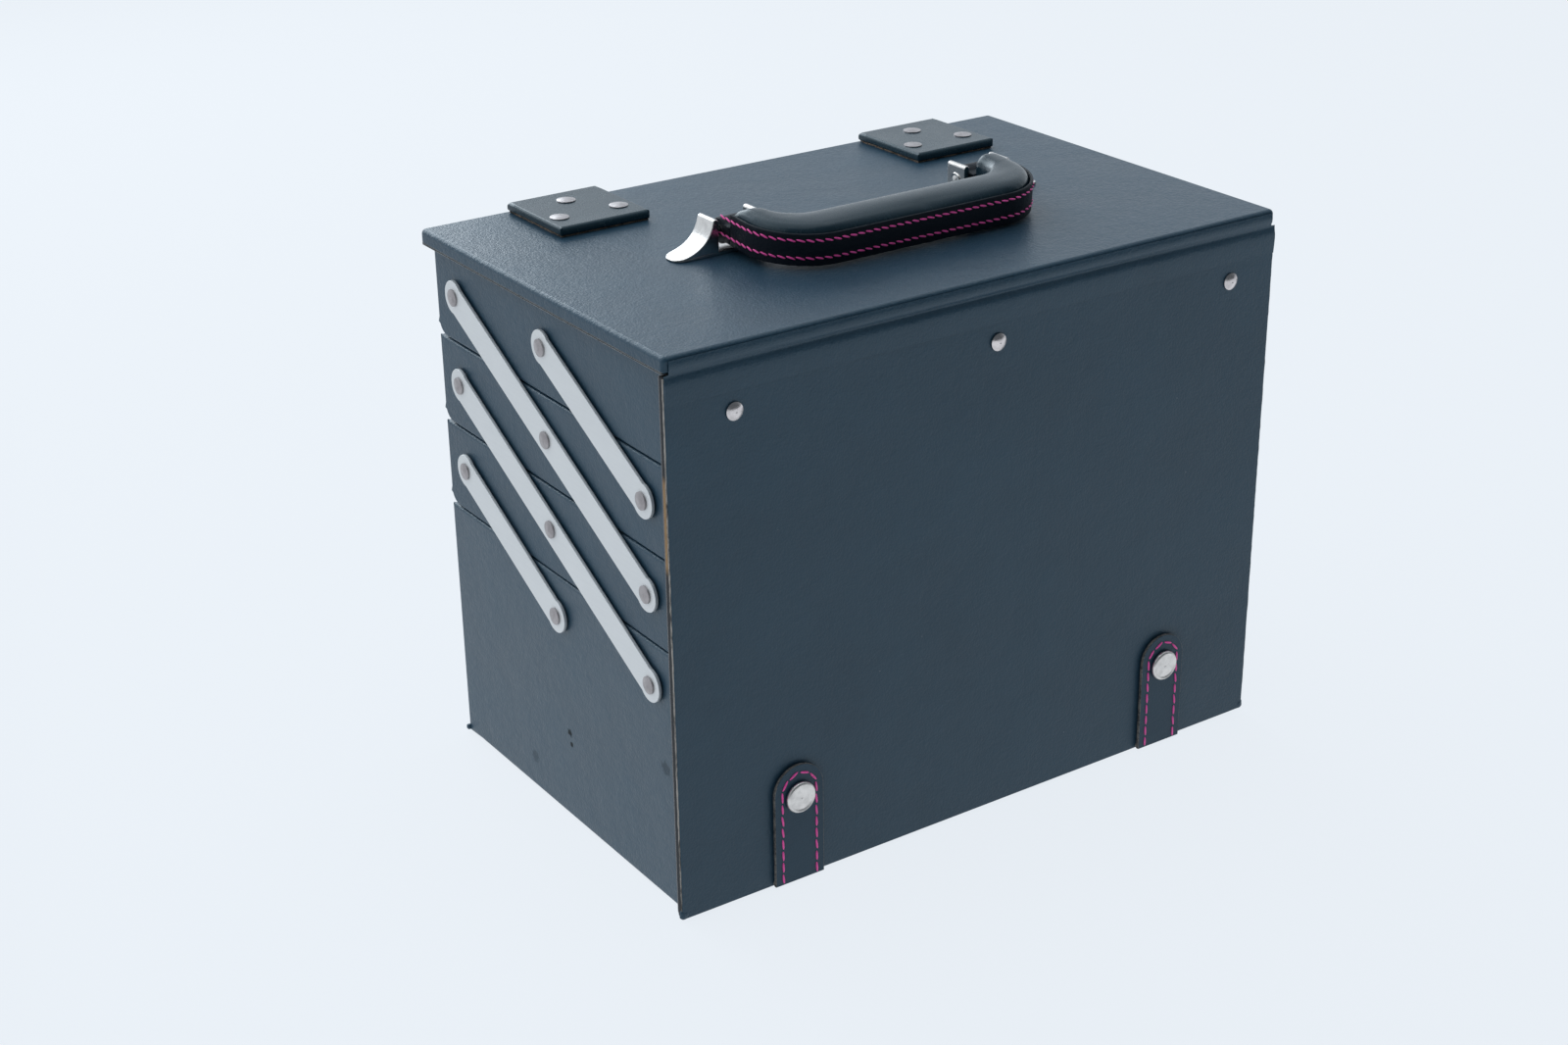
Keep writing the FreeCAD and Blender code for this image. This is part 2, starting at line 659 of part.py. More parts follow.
def handle_post(name, side):
    """A cast clevis: a flat inner wall, and an outer wall that sweeps out into a rounded foot."""
    inner, wall, outer = size["post_inner"], size["post_wall"], size["post_outer"]
    foot, height, plate = size["post_foot"], size["post_height"], size["post_plate"]
    middle = size["cover_shift"]
    sweep_x = outer + (foot - outer) * 0.22
    sweep_z = plate + (height - plate) * 0.24
    points = [
        (inner, 0), (foot, 0), (foot + plate * 0.3, plate * 0.5, "arc"), (foot - 0.5, plate),
        (sweep_x, sweep_z, "arc"), (outer, height - wall / 2), (outer - wall / 2, height, "arc"),
        (outer - wall, height - wall / 2), (outer - wall, plate), (inner + wall, plate),
        (inner + wall, height - wall / 2), (inner + wall / 2, height, "arc"), (inner, height - wall / 2),
    ]
    body = new_body(name)
    sketch = sketch_on(body, f"{name}_profile", "XZ_Plane")
    outline(sketch, [(side * point[0], *point[1:]) for point in points])
    pad = body.newObject("PartDesign::Pad", f"{name}_pad")
    pad.Profile = sketch
    bind(pad, Length="sizes.post_width")
    pad.Midplane = True
    doc.recompute()
    bore_x = size["post_inner"] - 1 if side > 0 else -size["post_foot"]
    rod(
        body, "Subtractive", (bore_x, 0, size["handle_pin_height"]),
        "sizes.shank_radius", "sizes.post_foot - sizes.post_inner + 1", axis=Vector(0, 1, 0), angle=90,
    )
    place(body, middle, PIN_Y, LID_TOP)
    doc.recompute()
    return body


for side, hand in ((-1, "left"), (1, "right")):
    handle_post(f"handle_post_{hand}", side)
PIN_LENGTH = size["post_outer"] - size["post_inner"]
group_of_solids(
    "handle_pins",
    [
        turned(
            [
                (0, 0), (size["shank_radius"], 0), (size["shank_radius"], PIN_LENGTH),
                (size["handle_pin_head"], PIN_LENGTH), (size["handle_pin_head"] * 0.9, PIN_LENGTH + 0.7),
                (size["handle_pin_head"] * 0.6, PIN_LENGTH + 0.5), (0, PIN_LENGTH + 1.0),
            ],
            (size["cover_shift"] + side * size["post_outer"], PIN_Y, PIN_Z), (-side, 0, 0),
        )
        for side in (-1, 1)
    ],
)

# ---------------------------------------------------------------- handle: grip, band, ends
ARM_START_Y = -size["grip_start"]


def u_outline(half, front, corner, arm_width, depth):
    """Plan outline of a U that opens to the rear, from its outside half width and front reach."""
    inner_half = half - arm_width
    inner_front = front - depth
    inner_corner = max(corner - min(arm_width, depth), 2.0)
    turn = 1 - math.sqrt(0.5)
    return [
        (-half, ARM_START_Y), (-half, -front + corner),
        (-half + corner * turn, -front + corner * turn, "arc"),
        (-half + corner, -front), (half - corner, -front),
        (half - corner * turn, -front + corner * turn, "arc"),
        (half, -front + corner), (half, ARM_START_Y), (inner_half, ARM_START_Y),
        (inner_half, -inner_front + inner_corner),
        (inner_half - inner_corner * turn, -inner_front + inner_corner * turn, "arc"),
        (inner_half - inner_corner, -inner_front), (-inner_half + inner_corner, -inner_front),
        (-inner_half + inner_corner * turn, -inner_front + inner_corner * turn, "arc"),
        (-inner_half, -inner_front + inner_corner),
    ]


def tilt_with_handle(body):
    """Place a handle piece, drawn level about its pin, leaning down to the front."""
    lean = Rotation(Vector(1, 0, 0), size["handle_tilt"])
    body.Placement = Placement(Vector(size["cover_shift"], PIN_Y, PIN_Z), lean)


def u_piece(name, points, low, height_text):
    """A U-shaped piece of the handle, standing up from a level a little below the pin."""
    body = new_body(name)
    sketch = sketch_on(body, f"{name}_plan", "XY_Plane")
    outline(sketch, points)
    sketch.AttachmentOffset = Placement(Vector(0, 0, low), Rotation())
    pad = body.newObject("PartDesign::Pad", f"{name}_pad")
    pad.Profile = sketch
    bind(pad, Length=height_text)
    doc.recompute()
    return body


GRIP_LOW = size["grip_lift"] - size["handle_pin_height"]
BAND = size["handle_band"]
grip = u_piece(
    "handle_grip",
    u_outline(
        size["handle_half"] - BAND, size["handle_reach"] - BAND, size["handle_corner"] - BAND,
        size["handle_arm_width"] - BAND, size["handle_depth"] - BAND,
    ),
    GRIP_LOW, "sizes.handle_thickness",
)
round_edges(
    grip, "sizes.handle_thickness * 0.3",
    lambda middle, edge: near(middle.z, GRIP_LOW + size["handle_thickness"])
    and not near(middle.y, ARM_START_Y),
)
tilt_with_handle(grip)
band = u_piece(
    "handle_band",
    u_outline(size["handle_half"], size["handle_reach"], size["handle_corner"], BAND, BAND),
    GRIP_LOW, "sizes.band_height",
)
tilt_with_handle(band)
END_IN = size["handle_half"] - size["handle_end_width"]
for side, hand in ((-1, "left"), (1, "right")):
    end = new_body(f"handle_end_{hand}")
    low_x = END_IN if side > 0 else -size["handle_half"]
    rod(end, "Additive", (low_x, 0, 0), "sizes.handle_end_radius", "sizes.handle_end_width",
        axis=Vector(0, 1, 0), angle=90)
    block(
        end, "Additive", (low_x, ARM_START_Y, GRIP_LOW),
        "sizes.handle_end_width", "sizes.grip_start", f"{-2 * GRIP_LOW}",
    )
    rod(end, "Subtractive", (low_x - 1, 0, 0), "sizes.shank_radius + sizes.pin_play",
        "sizes.handle_end_width + 2", axis=Vector(0, 1, 0), angle=90)
    doc.recompute()
    tilt_with_handle(end)

# ---------------------------------------------------------------- check and write
doc.recompute()
for thing in doc.Objects:
    if "Invalid" in thing.State or "Error" in thing.State:
        raise RuntimeError(f"{thing.Label}: {thing.State}")
for thing in made:
    shape = thing.Shape
    if shape.isNull() or not shape.isValid() or not shape.Solids:
        raise RuntimeError(f"{thing.Label}: no valid solid")
    shape.exportStep(f"parts/{thing.Label}.step")
print(len(made), "parts written")
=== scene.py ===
"""The finished look of a sewing box with cantilever trays, in the order it is put together."""
import math
import random

import bpy
from mathutils import Matrix, Vector, noise


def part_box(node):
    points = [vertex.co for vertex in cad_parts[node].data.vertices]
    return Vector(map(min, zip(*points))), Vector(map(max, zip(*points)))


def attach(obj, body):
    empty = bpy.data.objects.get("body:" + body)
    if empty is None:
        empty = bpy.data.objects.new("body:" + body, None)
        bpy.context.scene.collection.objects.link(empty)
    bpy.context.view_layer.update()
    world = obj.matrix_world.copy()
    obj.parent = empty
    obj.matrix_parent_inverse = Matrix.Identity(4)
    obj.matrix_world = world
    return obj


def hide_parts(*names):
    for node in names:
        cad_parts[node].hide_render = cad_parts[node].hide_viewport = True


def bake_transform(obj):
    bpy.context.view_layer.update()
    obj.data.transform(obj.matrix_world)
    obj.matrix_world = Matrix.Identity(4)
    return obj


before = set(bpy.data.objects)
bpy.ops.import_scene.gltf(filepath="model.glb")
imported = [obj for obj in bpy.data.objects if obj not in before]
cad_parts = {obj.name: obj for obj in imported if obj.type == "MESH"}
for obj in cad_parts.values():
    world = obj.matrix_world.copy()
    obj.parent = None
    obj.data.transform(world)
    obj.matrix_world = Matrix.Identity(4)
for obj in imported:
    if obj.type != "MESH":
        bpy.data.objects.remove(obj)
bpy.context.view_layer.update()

MM = 0.001
NEAR = 0.01 * MM

# ---------------------------------------------------------------- leatherette over the four boxes
# Each box is folded board wrapped in one sheet of navy leatherette, a cloth-backed vinyl with a fine
# grain. The sheet is glued down, pulled round the edges and turned in over the rim, so every outer
# edge is soft.


class Wire:
    """One value inside a material; sums written with it become Math nodes."""

    def __init__(self, paint, socket):
        self.paint = paint
        self.socket = socket

    def sum(self, operation, first, second):
        return self.paint.node("ShaderNodeMath", {"operation": operation}, {0: first, 1: second})

    def __add__(self, other):
        return self.sum("ADD", self, other)

    __radd__ = __add__

    def __mul__(self, other):
        return self.sum("MULTIPLY", self, other)

    __rmul__ = __mul__

    def __sub__(self, other):
        return self.sum("SUBTRACT", self, other)

    def __rsub__(self, other):
        return self.sum("SUBTRACT", other, self)

    def __gt__(self, other):
        return self.sum("GREATER_THAN", self, other)

    def __lt__(self, other):
        return self.sum("LESS_THAN", self, other)


class Paint:
    """A material under construction."""

    def __init__(self, name, owner=None):
        self.material = owner or bpy.data.materials.new(name)
        self.material.use_nodes = True
        self.tree = self.material.node_tree
        self.tree.nodes.clear()
        self.place = self.node("ShaderNodeTexCoord", output="Object")

    def node(self, kind, settings=None, inputs=None, output=0):
        """Add a node: its settings first, then the values or links of its sockets."""
        node = self.tree.nodes.new(kind)
        for name, value in (settings or {}).items():
            setattr(node, name, value)
        for socket, value in (inputs or {}).items():
            if isinstance(value, Wire):
                self.tree.links.new(value.socket, node.inputs[socket])
            else:
                node.inputs[socket].default_value = value
        return None if output is None else Wire(self, node.outputs[output])

    def stretched(self, scale, turn=(0.0, 0.0, 0.0)):
        """The piece's own coordinates, scaled and turned for a pattern that runs one way."""
        return self.node(
            "ShaderNodeMapping", {}, {"Vector": self.place, "Scale": scale, "Rotation": turn},
        )

    def noise(self, scale, detail=3.0, place=None, rough=0.55):
        return self.node(
            "ShaderNodeTexNoise", {},
            {"Vector": place or self.place, "Scale": scale, "Detail": detail, "Roughness": rough},
        )

    def cells(self, scale):
        """The distance to the middle of the nearest of many scattered cells."""
        return self.node(
            "ShaderNodeTexVoronoi", {"feature": "F1"}, {"Vector": self.place, "Scale": scale}, "Distance",
        )

    def step(self, value, low, high):
        """0 below low, 1 above high, smooth between."""
        return self.node(
            "ShaderNodeMapRange", {"interpolation_type": "SMOOTHSTEP"},
            {"Value": value, "From Min": low, "From Max": high},
        )

    def mix(self, factor, first, second):
        return self.node(
            "ShaderNodeMix", {"data_type": "RGBA"}, {0: factor, 6: first, 7: second}, output=2,
        )

    def axis(self, name):
        return self.node("ShaderNodeSeparateXYZ", {}, {0: self.place}, output=name)

    def done(self, inputs, height=None, depth=0.1 * MM):
        """Close the material with one Principled shader, bumped by a height."""
        if height is not None:
            inputs["Normal"] = self.node("ShaderNodeBump", {}, {"Height": height, "Distance": depth})
        return self.show(self.node("ShaderNodeBsdfPrincipled", {}, inputs))

    def show(self, shader, kind="ShaderNodeOutputMaterial"):
        self.node(kind, {}, {"Surface": shader}, output=None)
        return self.material


def leatherette(name, deep, pale, gloss=0.40, scuffs=0.0, shine=0.32, relief=1.0, marks=()):
    """Satin vinyl: a cloudy tone, a fine pebble grain, a few specks and, on worn pieces, rubbed scuffs.

    Each mark is a small dark nick: its place, its radius and its strength."""
    dust, rubbed_pale, nick_dark = (0.20, 0.22, 0.24, 1), (0.09, 0.12, 0.15, 1), (0.002, 0.003, 0.004, 1)
    cool_gloss = (0.84, 0.95, 1.0, 1)
    paint = Paint(name)
    cloud = paint.noise(24, 3)
    swell = paint.noise(80, 2)
    grain = paint.noise(420, 4)
    pebble = paint.cells(900)
    tone = paint.mix(cloud * 0.85 + swell * 0.25 + grain * 0.45 - 0.22, deep, pale)
    specks = paint.cells(55) < 0.022
    tone = paint.mix(specks * (0.3 * relief), tone, dust)
    if scuffs:
        rubbed = paint.noise(90, 5, paint.stretched((0.35, 1.0, 1.6), (0.5, 0.3, 0.2)), 0.7)
        where = paint.step(paint.noise(9, 1), 0.50, 0.62)
        rubbed = paint.step(rubbed, 0.66, 0.76) * where * scuffs
        tone = paint.mix(rubbed, tone, rubbed_pale)
    for place, radius, strength in marks:
        gap = paint.node(
            "ShaderNodeVectorMath", {"operation": "DISTANCE"}, {0: paint.place, 1: place}, output="Value",
        )
        nick = 1 - paint.step(gap + (grain - 0.5) * radius * 1.6, radius * 0.5, radius)
        tone = paint.mix(nick * strength, tone, nick_dark)
        gloss = gloss + nick * strength * 0.5
    rough = (cloud - 0.5) * 0.12 + (grain - 0.5) * 0.22 + gloss
    return paint.done(
        {
            "Base Color": tone, "Roughness": rough, "Specular IOR Level": shine,
            "Specular Tint": cool_gloss,
        },
        height=pebble * 0.5 + grain * 0.9 + swell * 1.6 + cloud * 1.5, depth=0.17 * MM * relief,
    )


def only(piece):
    """Select one piece and nothing else."""
    bpy.ops.object.select_all(action="DESELECT")
    piece.select_set(True)
    bpy.context.view_layer.objects.active = piece


def merged_copy(name, *nodes):
    """The shape of a frame piece with its loose triangles joined into whole faces."""
    parts = []
    for node in nodes:
        part = bpy.data.objects.new(name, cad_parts[node].data.copy())
        bpy.context.scene.collection.objects.link(part)
        parts.append(part)
    only(parts[0])
    for part in parts[1:]:
        part.select_set(True)
    if len(parts) > 1:
        bpy.ops.object.join()
    piece = parts[0]
    piece.data.name = name
    bpy.ops.mesh.customdata_custom_splitnormals_clear()
    bpy.ops.object.mode_set(mode="EDIT")
    bpy.ops.mesh.select_all(action="SELECT")
    bpy.ops.mesh.remove_doubles(threshold=2e-6)
    bpy.ops.mesh.dissolve_limited(angle_limit=math.radians(0.5))
    bpy.ops.object.mode_set(mode="OBJECT")
    return piece


def bevel_where(piece, width, segments, test, sharpness=30, clamp=False):
    """Round the sharp edges whose two ends pass a test of their place."""
    only(piece)
    bpy.ops.object.mode_set(mode="EDIT")
    bpy.ops.mesh.select_mode(type="EDGE")
    bpy.ops.mesh.select_all(action="DESELECT")
    bpy.ops.mesh.edges_select_sharp(sharpness=math.radians(sharpness))
    bpy.ops.object.mode_set(mode="OBJECT")
    points = piece.data.vertices
    for edge in piece.data.edges:
        edge.select = edge.select and all(test(points[index].co) for index in edge.vertices)
    bpy.ops.object.mode_set(mode="EDIT")
    bpy.ops.mesh.bevel(offset=width, segments=segments, affect="EDGES", clamp_overlap=clamp)
    bpy.ops.object.mode_set(mode="OBJECT")


def modify(piece, kind, **settings):
    """Add a modifier and apply it."""
    only(piece)
    modifier = piece.modifiers.new(kind.title(), kind)
    for name, value in settings.items():
        setattr(modifier, name, value)
    bpy.ops.object.modifier_apply(modifier=modifier.name)


def smooth(piece, angle=40):
    """Shade the rounded edges smooth while the flats stay flat."""
    only(piece)
    bpy.ops.object.shade_smooth_by_angle(angle=math.radians(angle))
    modify(piece, "WEIGHTED_NORMAL", keep_sharp=True, weight=80)


def dress(piece, material, body, slot, *replaced):
    """Give a finished piece its material and the body it moves with, and hide what it stands for. The slot
    is not used.
    """
    piece.data.materials.clear()
    piece.data.materials.append(material)
    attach(piece, body)
    if replaced:
        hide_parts(*replaced)
    return piece


def finish(material, *nodes):
    """Give carried-over frame pieces their material."""
    for node in nodes:
        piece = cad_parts[node]
        if not piece.material_slots:
            piece.data.materials.append(material)
        for holder in piece.material_slots:
            holder.material = material


NAVY = (0.0120, 0.0345, 0.0580, 1)
NAVY_PALE = (0.0220, 0.0570, 0.0900, 1)
navy = leatherette("navy_leatherette", NAVY, NAVY_PALE, shine=0.42)
tray_navy = leatherette("navy_leatherette_trays", NAVY, NAVY_PALE, shine=0.46)
navy_worn = leatherette(
    "navy_leatherette_worn", NAVY, NAVY_PALE, scuffs=0.5, shine=0.62,
    marks=[
        ((-0.161, -0.003, 0.047), 0.0024, 1.0), ((-0.161, -0.004, 0.041), 0.0017, 1.0),
        ((-0.161, -0.088, 0.068), 0.0042, 0.4), ((-0.161, 0.033, 0.018), 0.0038, 0.3),
    ],
)


def block(name, low, high, rows=(1, 1, 1)):
    """A block between two corners, cut into rows along x, y and z."""
    bpy.ops.object.select_all(action="DESELECT")
    middle = (Vector(low) + Vector(high)) / 2
    bpy.ops.mesh.primitive_cube_add(size=1, location=middle, scale=Vector(high) - Vector(low))
    piece = bpy.context.object
    piece.name = piece.data.name = name
    bpy.ops.object.transform_apply(location=True, rotation=True, scale=True)
    bpy.ops.object.mode_set(mode="EDIT")
    for axis, count in enumerate(rows):
        normal = [float(index == axis) for index in range(3)]
        for cut in range(1, count):
            spot = Vector(low)
            spot[axis] += (high[axis] - low[axis]) * cut / count
            bpy.ops.mesh.select_all(action="SELECT")
            bpy.ops.mesh.bisect(plane_co=spot, plane_no=normal)
    bpy.ops.object.mode_set(mode="OBJECT")
    return piece


def select_faces(piece, test):
    """Go into edit mode with the faces selected whose centre and normal pass a test."""
    only(piece)
    bpy.ops.object.mode_set(mode="EDIT")
    bpy.ops.mesh.select_mode(type="FACE")
    bpy.ops.mesh.select_all(action="DESELECT")
    bpy.ops.object.mode_set(mode="OBJECT")
    for face in piece.data.polygons:
        face.select = test(face.center, face.normal)
    bpy.ops.object.mode_set(mode="EDIT")


def ripple(piece, low, high, amount, size, seed):
    """Let the glued sheet rise and sink a little over the flats, but not along the edges."""
    on_side, clear_of_edge, full_rise = 0.02 * MM, 1.5 * MM, 12 * MM
    sunk = 0.55
    shift = Vector((seed * 3.1, seed * 1.7, seed * 2.3))
    for point in piece.data.vertices:
        co = point.co
        gaps = sorted(min(co[axis] - low[axis], high[axis] - co[axis]) for axis in range(3))
        if gaps[0] > on_side or gaps[1] < clear_of_edge:
            continue
        wave = noise.noise(co / size + shift) + 0.5 * noise.noise(co / size * 2.3 + shift)
        point.co = co + point.normal * amount * (wave - sunk) * min(1.0, gaps[1] / full_rise)


BOXES = ("base", "tray_3", "tray_2", "tray_1")
RIM_WIDTH = 3.8 * MM
HEEL = 7 * MM
SOFT_EDGE = 1.6 * MM
for number, box in enumerate(BOXES):
    low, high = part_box(f"{box}_cover")
    cover = block(f"{box}_leather", low, high, (22, 14, 12 if box == "base" else 5))
    select_faces(cover, lambda middle, normal: normal.z > 0.9)
    bpy.ops.mesh.inset(thickness=RIM_WIDTH, depth=0)
    bpy.ops.mesh.extrude_region_move(TRANSFORM_OT_translate={"value": (0, 0, low.z - high.z + RIM_WIDTH)})
    bpy.ops.object.mode_set(mode="OBJECT")
    if box != "base":
        bevel_where(cover, HEEL, 8, lambda co: abs(co.y - high.y) < NEAR and abs(co.z - low.z) < NEAR)
    bevel_where(
        cover, SOFT_EDGE, 4, lambda co: abs(abs(co.x) - high.x) < NEAR and abs(co.y - high.y) < NEAR,
    )
    bevel_where(
        cover, SOFT_EDGE, 4,
        lambda co: min(abs(abs(co.x) - high.x), abs(co.y - low.y), abs(co.y - high.y)) < NEAR,
    )
    ripple(cover, low, high, 0.22 * MM, 40 * MM, number)
    smooth(cover)
    dress(cover, navy_worn if box == "base" else tray_navy, box, "leatherette", f"{box}_cover")

# The sheet's end is tucked under at the base's rear left foot, and shows as a small soft lump.
low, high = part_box("base_cover")
fold = block(
    "base_corner_fold", (low.x - 1.4 * MM, high.y - 1.5 * MM, low.z),
    (low.x + 1.0 * MM, high.y + 0.8 * MM, low.z + 2.6 * MM), (2, 2, 2),
)
bevel_where(fold, 0.8 * MM, 3, lambda co: True)
smooth(fold)
dress(fold, navy, "base", "leatherette")

# ---------------------------------------------------------------- board shells and felt linings
# The boxes themselves are 3 mm hardboard, seen only along the turned-in rim, and each is lined with
# grey wool felt glued to the floor and walls.


def hardboard_paint(name, brown, dark):
    paint = Paint(name)
    fibre = paint.noise(600, 5, paint.stretched((1.0, 1.0, 4.0)), 0.7)
    blotch = paint.noise(60, 3)
    tone = paint.mix(fibre * 0.7 + blotch * 0.3, dark, brown)
    return paint.done(
        {"Base Color": tone, "Roughness": 0.75 + fibre * 0.2}, height=fibre, depth=0.3 * MM,
    )


def felt_paint(name, shade, light):
    paint = Paint(name)
    fluff = paint.noise(900, 6, rough=0.8)
    thread = paint.noise(260, 4, paint.stretched((2.5, 0.6, 1.0), (0, 0, 0.7)), 0.7)
    tone = paint.mix(fluff * 0.5 + thread * 0.5, shade, light)
    return paint.done(
        {"Base Color": tone, "Roughness": 0.88 + fluff * 0.1, "Sheen Weight": 0.35, "Sheen Roughness": 0.5},
        height=fluff + thread, depth=0.35 * MM,
    )


hardboard = hardboard_paint("hardboard", (0.30, 0.19, 0.10, 1), (0.10, 0.06, 0.035, 1))
felt = felt_paint("grey_felt", (0.055, 0.055, 0.060, 1), (0.115, 0.115, 0.125, 1))
finish(hardboard, *[f"{box}_shell" for box in BOXES])
finish(felt, *[f"{box}_lining" for box in BOXES])

# ---------------------------------------------------------------- pivots: nickel rivets and washers
# Nickel-plated domed rivets go through each side wall, over a thin steel washer that keeps the arm
# off the leather. They are clenched inside, and their heads are dulled and mottled by age.


def nickel_paint(name, tone, gloss, mottle=1.0):
    paint = Paint(name)
    cloud = paint.noise(260, 4, rough=0.6)
    pits = paint.noise(1600, 3)
    rubbed = paint.noise(700, 3, paint.stretched((6.0, 0.7, 1.0), (0.4, 0.2, 0.9)), 0.7)
    dark = tuple(part * 0.62 for part in tone[:3]) + (1,)
    colour = paint.mix(paint.step(cloud, 0.34, 0.66) * 0.55 * mottle, tone, dark)
    rough = gloss + (cloud - 0.45) * 0.28 * mottle + (rubbed - 0.5) * 0.10
    return paint.done(
        {"Base Color": colour, "Roughness": rough, "Metallic": 1.0},
        height=pits * 0.5 + rubbed + cloud, depth=0.04 * MM,
    )


nickel = nickel_paint("aged_nickel", (0.70, 0.66, 0.66, 1), 0.20)
dull_nickel = nickel_paint("dull_nickel", (0.40, 0.375, 0.38, 1), 0.34)
washer_steel = nickel_paint("washer_steel", (0.34, 0.34, 0.34, 1), 0.42)
finish(dull_nickel, *[f"{box}_rivets" for box in BOXES])
finish(washer_steel, *[f"{box}_washers" for box in BOXES])

# ---------------------------------------------------------------- cantilever arms
# Flat steel strips with round ends, 1.5 mm thick, tumbled to soften the edges and finished in a
# satin silver-white. Each turns on its rivets, and keeps its tray level as it swings.


def arm_paint():
    paint = Paint("satin_arm_steel")
    drawn = paint.noise(500, 4, paint.stretched((1.0, 0.05, 1.6), (0.486, 0, 0)), 0.6)
    cloud = paint.noise(40, 3)
    specks = paint.cells(160) < 0.035
    tone = paint.mix(cloud * 0.5 + drawn * 0.5, (0.60, 0.62, 0.63, 1), (0.74, 0.755, 0.76, 1))
    tone = paint.mix(specks * 0.35, tone, (0.30, 0.31, 0.32, 1))
    return paint.done(
        {"Base Color": tone, "Roughness": 0.40 + drawn * 0.12 + cloud * 0.06, "Metallic": 0.55},
        height=drawn + cloud * 0.4, depth=0.03 * MM,
    )


arm_steel = arm_paint()
for group in ("lower_long_arm", "lower_short_arm", "upper_long_arm", "upper_short_arm"):
    for hand in ("left", "right"):
        strip = merged_copy(f"{group}_{hand}_strip", f"{group}_{hand}")
        low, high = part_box(f"{group}_{hand}")
        bevel_where(strip, 0.28 * MM, 2, lambda co: True)
        smooth(strip)
        dress(strip, arm_steel, f"{group}s", "arm_steel", f"{group}_{hand}")

# ---------------------------------------------------------------- front panel
# A hardboard sheet covered in the same leatherette, riveted through the front of the top tray only.
# Its ends are cut flush, so the pale cloth backing and the raw board show along the two upright edges.
COVER_STOP = 2.0 * MM
low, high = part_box("panel_cover")
top = Vector((high.x, high.y, high.z - COVER_STOP))
panel = block("panel_leather", low, top, (26, 1, 20))
bevel_where(panel, 0.7 * MM, 3, lambda co: abs(co.y - low.y) < NEAR)
ripple(panel, low, top, 0.40 * MM, 45 * MM, 7)
smooth(panel)
dress(panel, navy, "tray_1", "leatherette", "panel_cover")


def raw_edge_paint(name, pale, dark, along=(1.0, 1.0, 0.25)):
    """A cut edge: cloth and fibre ends, broken up by dark glue."""
    paint = Paint(name)
    fibre = paint.noise(900, 5, paint.stretched(along), 0.75)
    gaps = paint.noise(130, 3, paint.stretched(along), 0.6)
    tone = paint.mix(paint.step(fibre * 0.6 + gaps * 0.4, 0.38, 0.60), dark, pale)
    return paint.done({"Base Color": tone, "Roughness": 0.9}, height=fibre + gaps, depth=0.4 * MM)


def worn_board_paint():
    """The panel board's cut edge: dyed dark, rubbed back to brown fibre between two heights."""
    paint = Paint("panel_board_edge")
    fibre = paint.noise(700, 5, paint.stretched((1.0, 1.0, 0.4)), 0.7)
    patches = paint.noise(16, 4, paint.stretched((1.0, 1.0, 1.3)), 0.6)
    up = paint.axis("Z")
    starts, stops = (166 * MM, 171 * MM), (206 * MM, 212 * MM)
    rubbed = paint.step(up, *starts) * (1 - paint.step(up, *stops))
    bare = paint.step(patches, 0.40, 0.52) * rubbed
    brown = paint.mix(fibre, (0.10, 0.055, 0.025, 1), (0.42, 0.26, 0.12, 1))
    tone = paint.mix(bare, (0.012, 0.014, 0.017, 1), brown)
    return paint.done({"Base Color": tone, "Roughness": 0.8}, height=fibre, depth=0.4 * MM)


backing = raw_edge_paint("leather_backing", (0.33, 0.31, 0.285, 1), (0.030, 0.029, 0.028, 1))
board_edge = worn_board_paint()
board_low, board_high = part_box("panel_board")
board = block("panel_board_core", board_low, board_high, (1, 1, 20))
bevel_where(
    board, 1.2 * MM, 3,
    lambda co: abs(co.y - board_low.y) < NEAR and abs(co.z - board_high.z) < NEAR,
)
smooth(board)
dress(board, board_edge, "tray_1", "hardboard", "panel_board")
finish(felt, "panel_lining")


def fray(piece, amount, seed):
    """Push every point a little way, as a cut edge is never straight."""
    dice = random.Random(seed)
    for point in piece.data.vertices:
        point.co += Vector([dice.uniform(-amount, amount) for _ in range(3)])


EDGE_BACK, EDGE_PROUD = 0.9 * MM, 0.15 * MM
for hand, side in (("left", -1), ("right", 1)):
    edge_x = side * high.x
    inner_x = edge_x - side * EDGE_BACK
    outer_x = edge_x + side * EDGE_PROUD
    edge = block(
        f"panel_raw_edge_{hand}",
        (min(inner_x, outer_x), high.y - 0.25 * MM, low.z + 3.5 * MM),
        (max(inner_x, outer_x), high.y + 0.75 * MM, high.z - 0.6 * MM),
        (1, 1, 90),
    )
    fray(edge, 0.12 * MM, 11 + side)
    smooth(edge, 60)
    dress(edge, backing, "tray_1", "backing")

# ---------------------------------------------------------------- folded nub at the panel's foot
# The cover's lower corners are pleated under the board, and the pleat pokes out as a small rounded nub.
PLEAT_DEPTH = 0.18 * MM
PLEATS_PER_MM = 1.9
for hand, side in (("left", -1), ("right", 1)):
    bpy.ops.object.select_all(action="DESELECT")
    bpy.ops.mesh.primitive_uv_sphere_add(
        segments=20, ring_count=12, radius=1.0,
        location=(side * (high.x - 1.2 * MM), high.y + 0.4 * MM, low.z + 2.2 * MM),
        scale=(2.3 * MM, 1.5 * MM, 2.6 * MM),
    )
    nub = bpy.context.object
    nub.name = nub.data.name = f"panel_corner_pleat_{hand}"
    bpy.ops.object.transform_apply(location=True, rotation=True, scale=True)
    for point in nub.data.vertices:
        fold = math.sin((point.co.z - low.z) / MM * PLEATS_PER_MM)
        point.co.x += side * PLEAT_DEPTH * fold
    smooth(nub, 80)
    dress(nub, navy, "tray_1", "leatherette")

finish(nickel, "panel_rivets", "snap_studs")
finish(washer_steel, "panel_spacers")

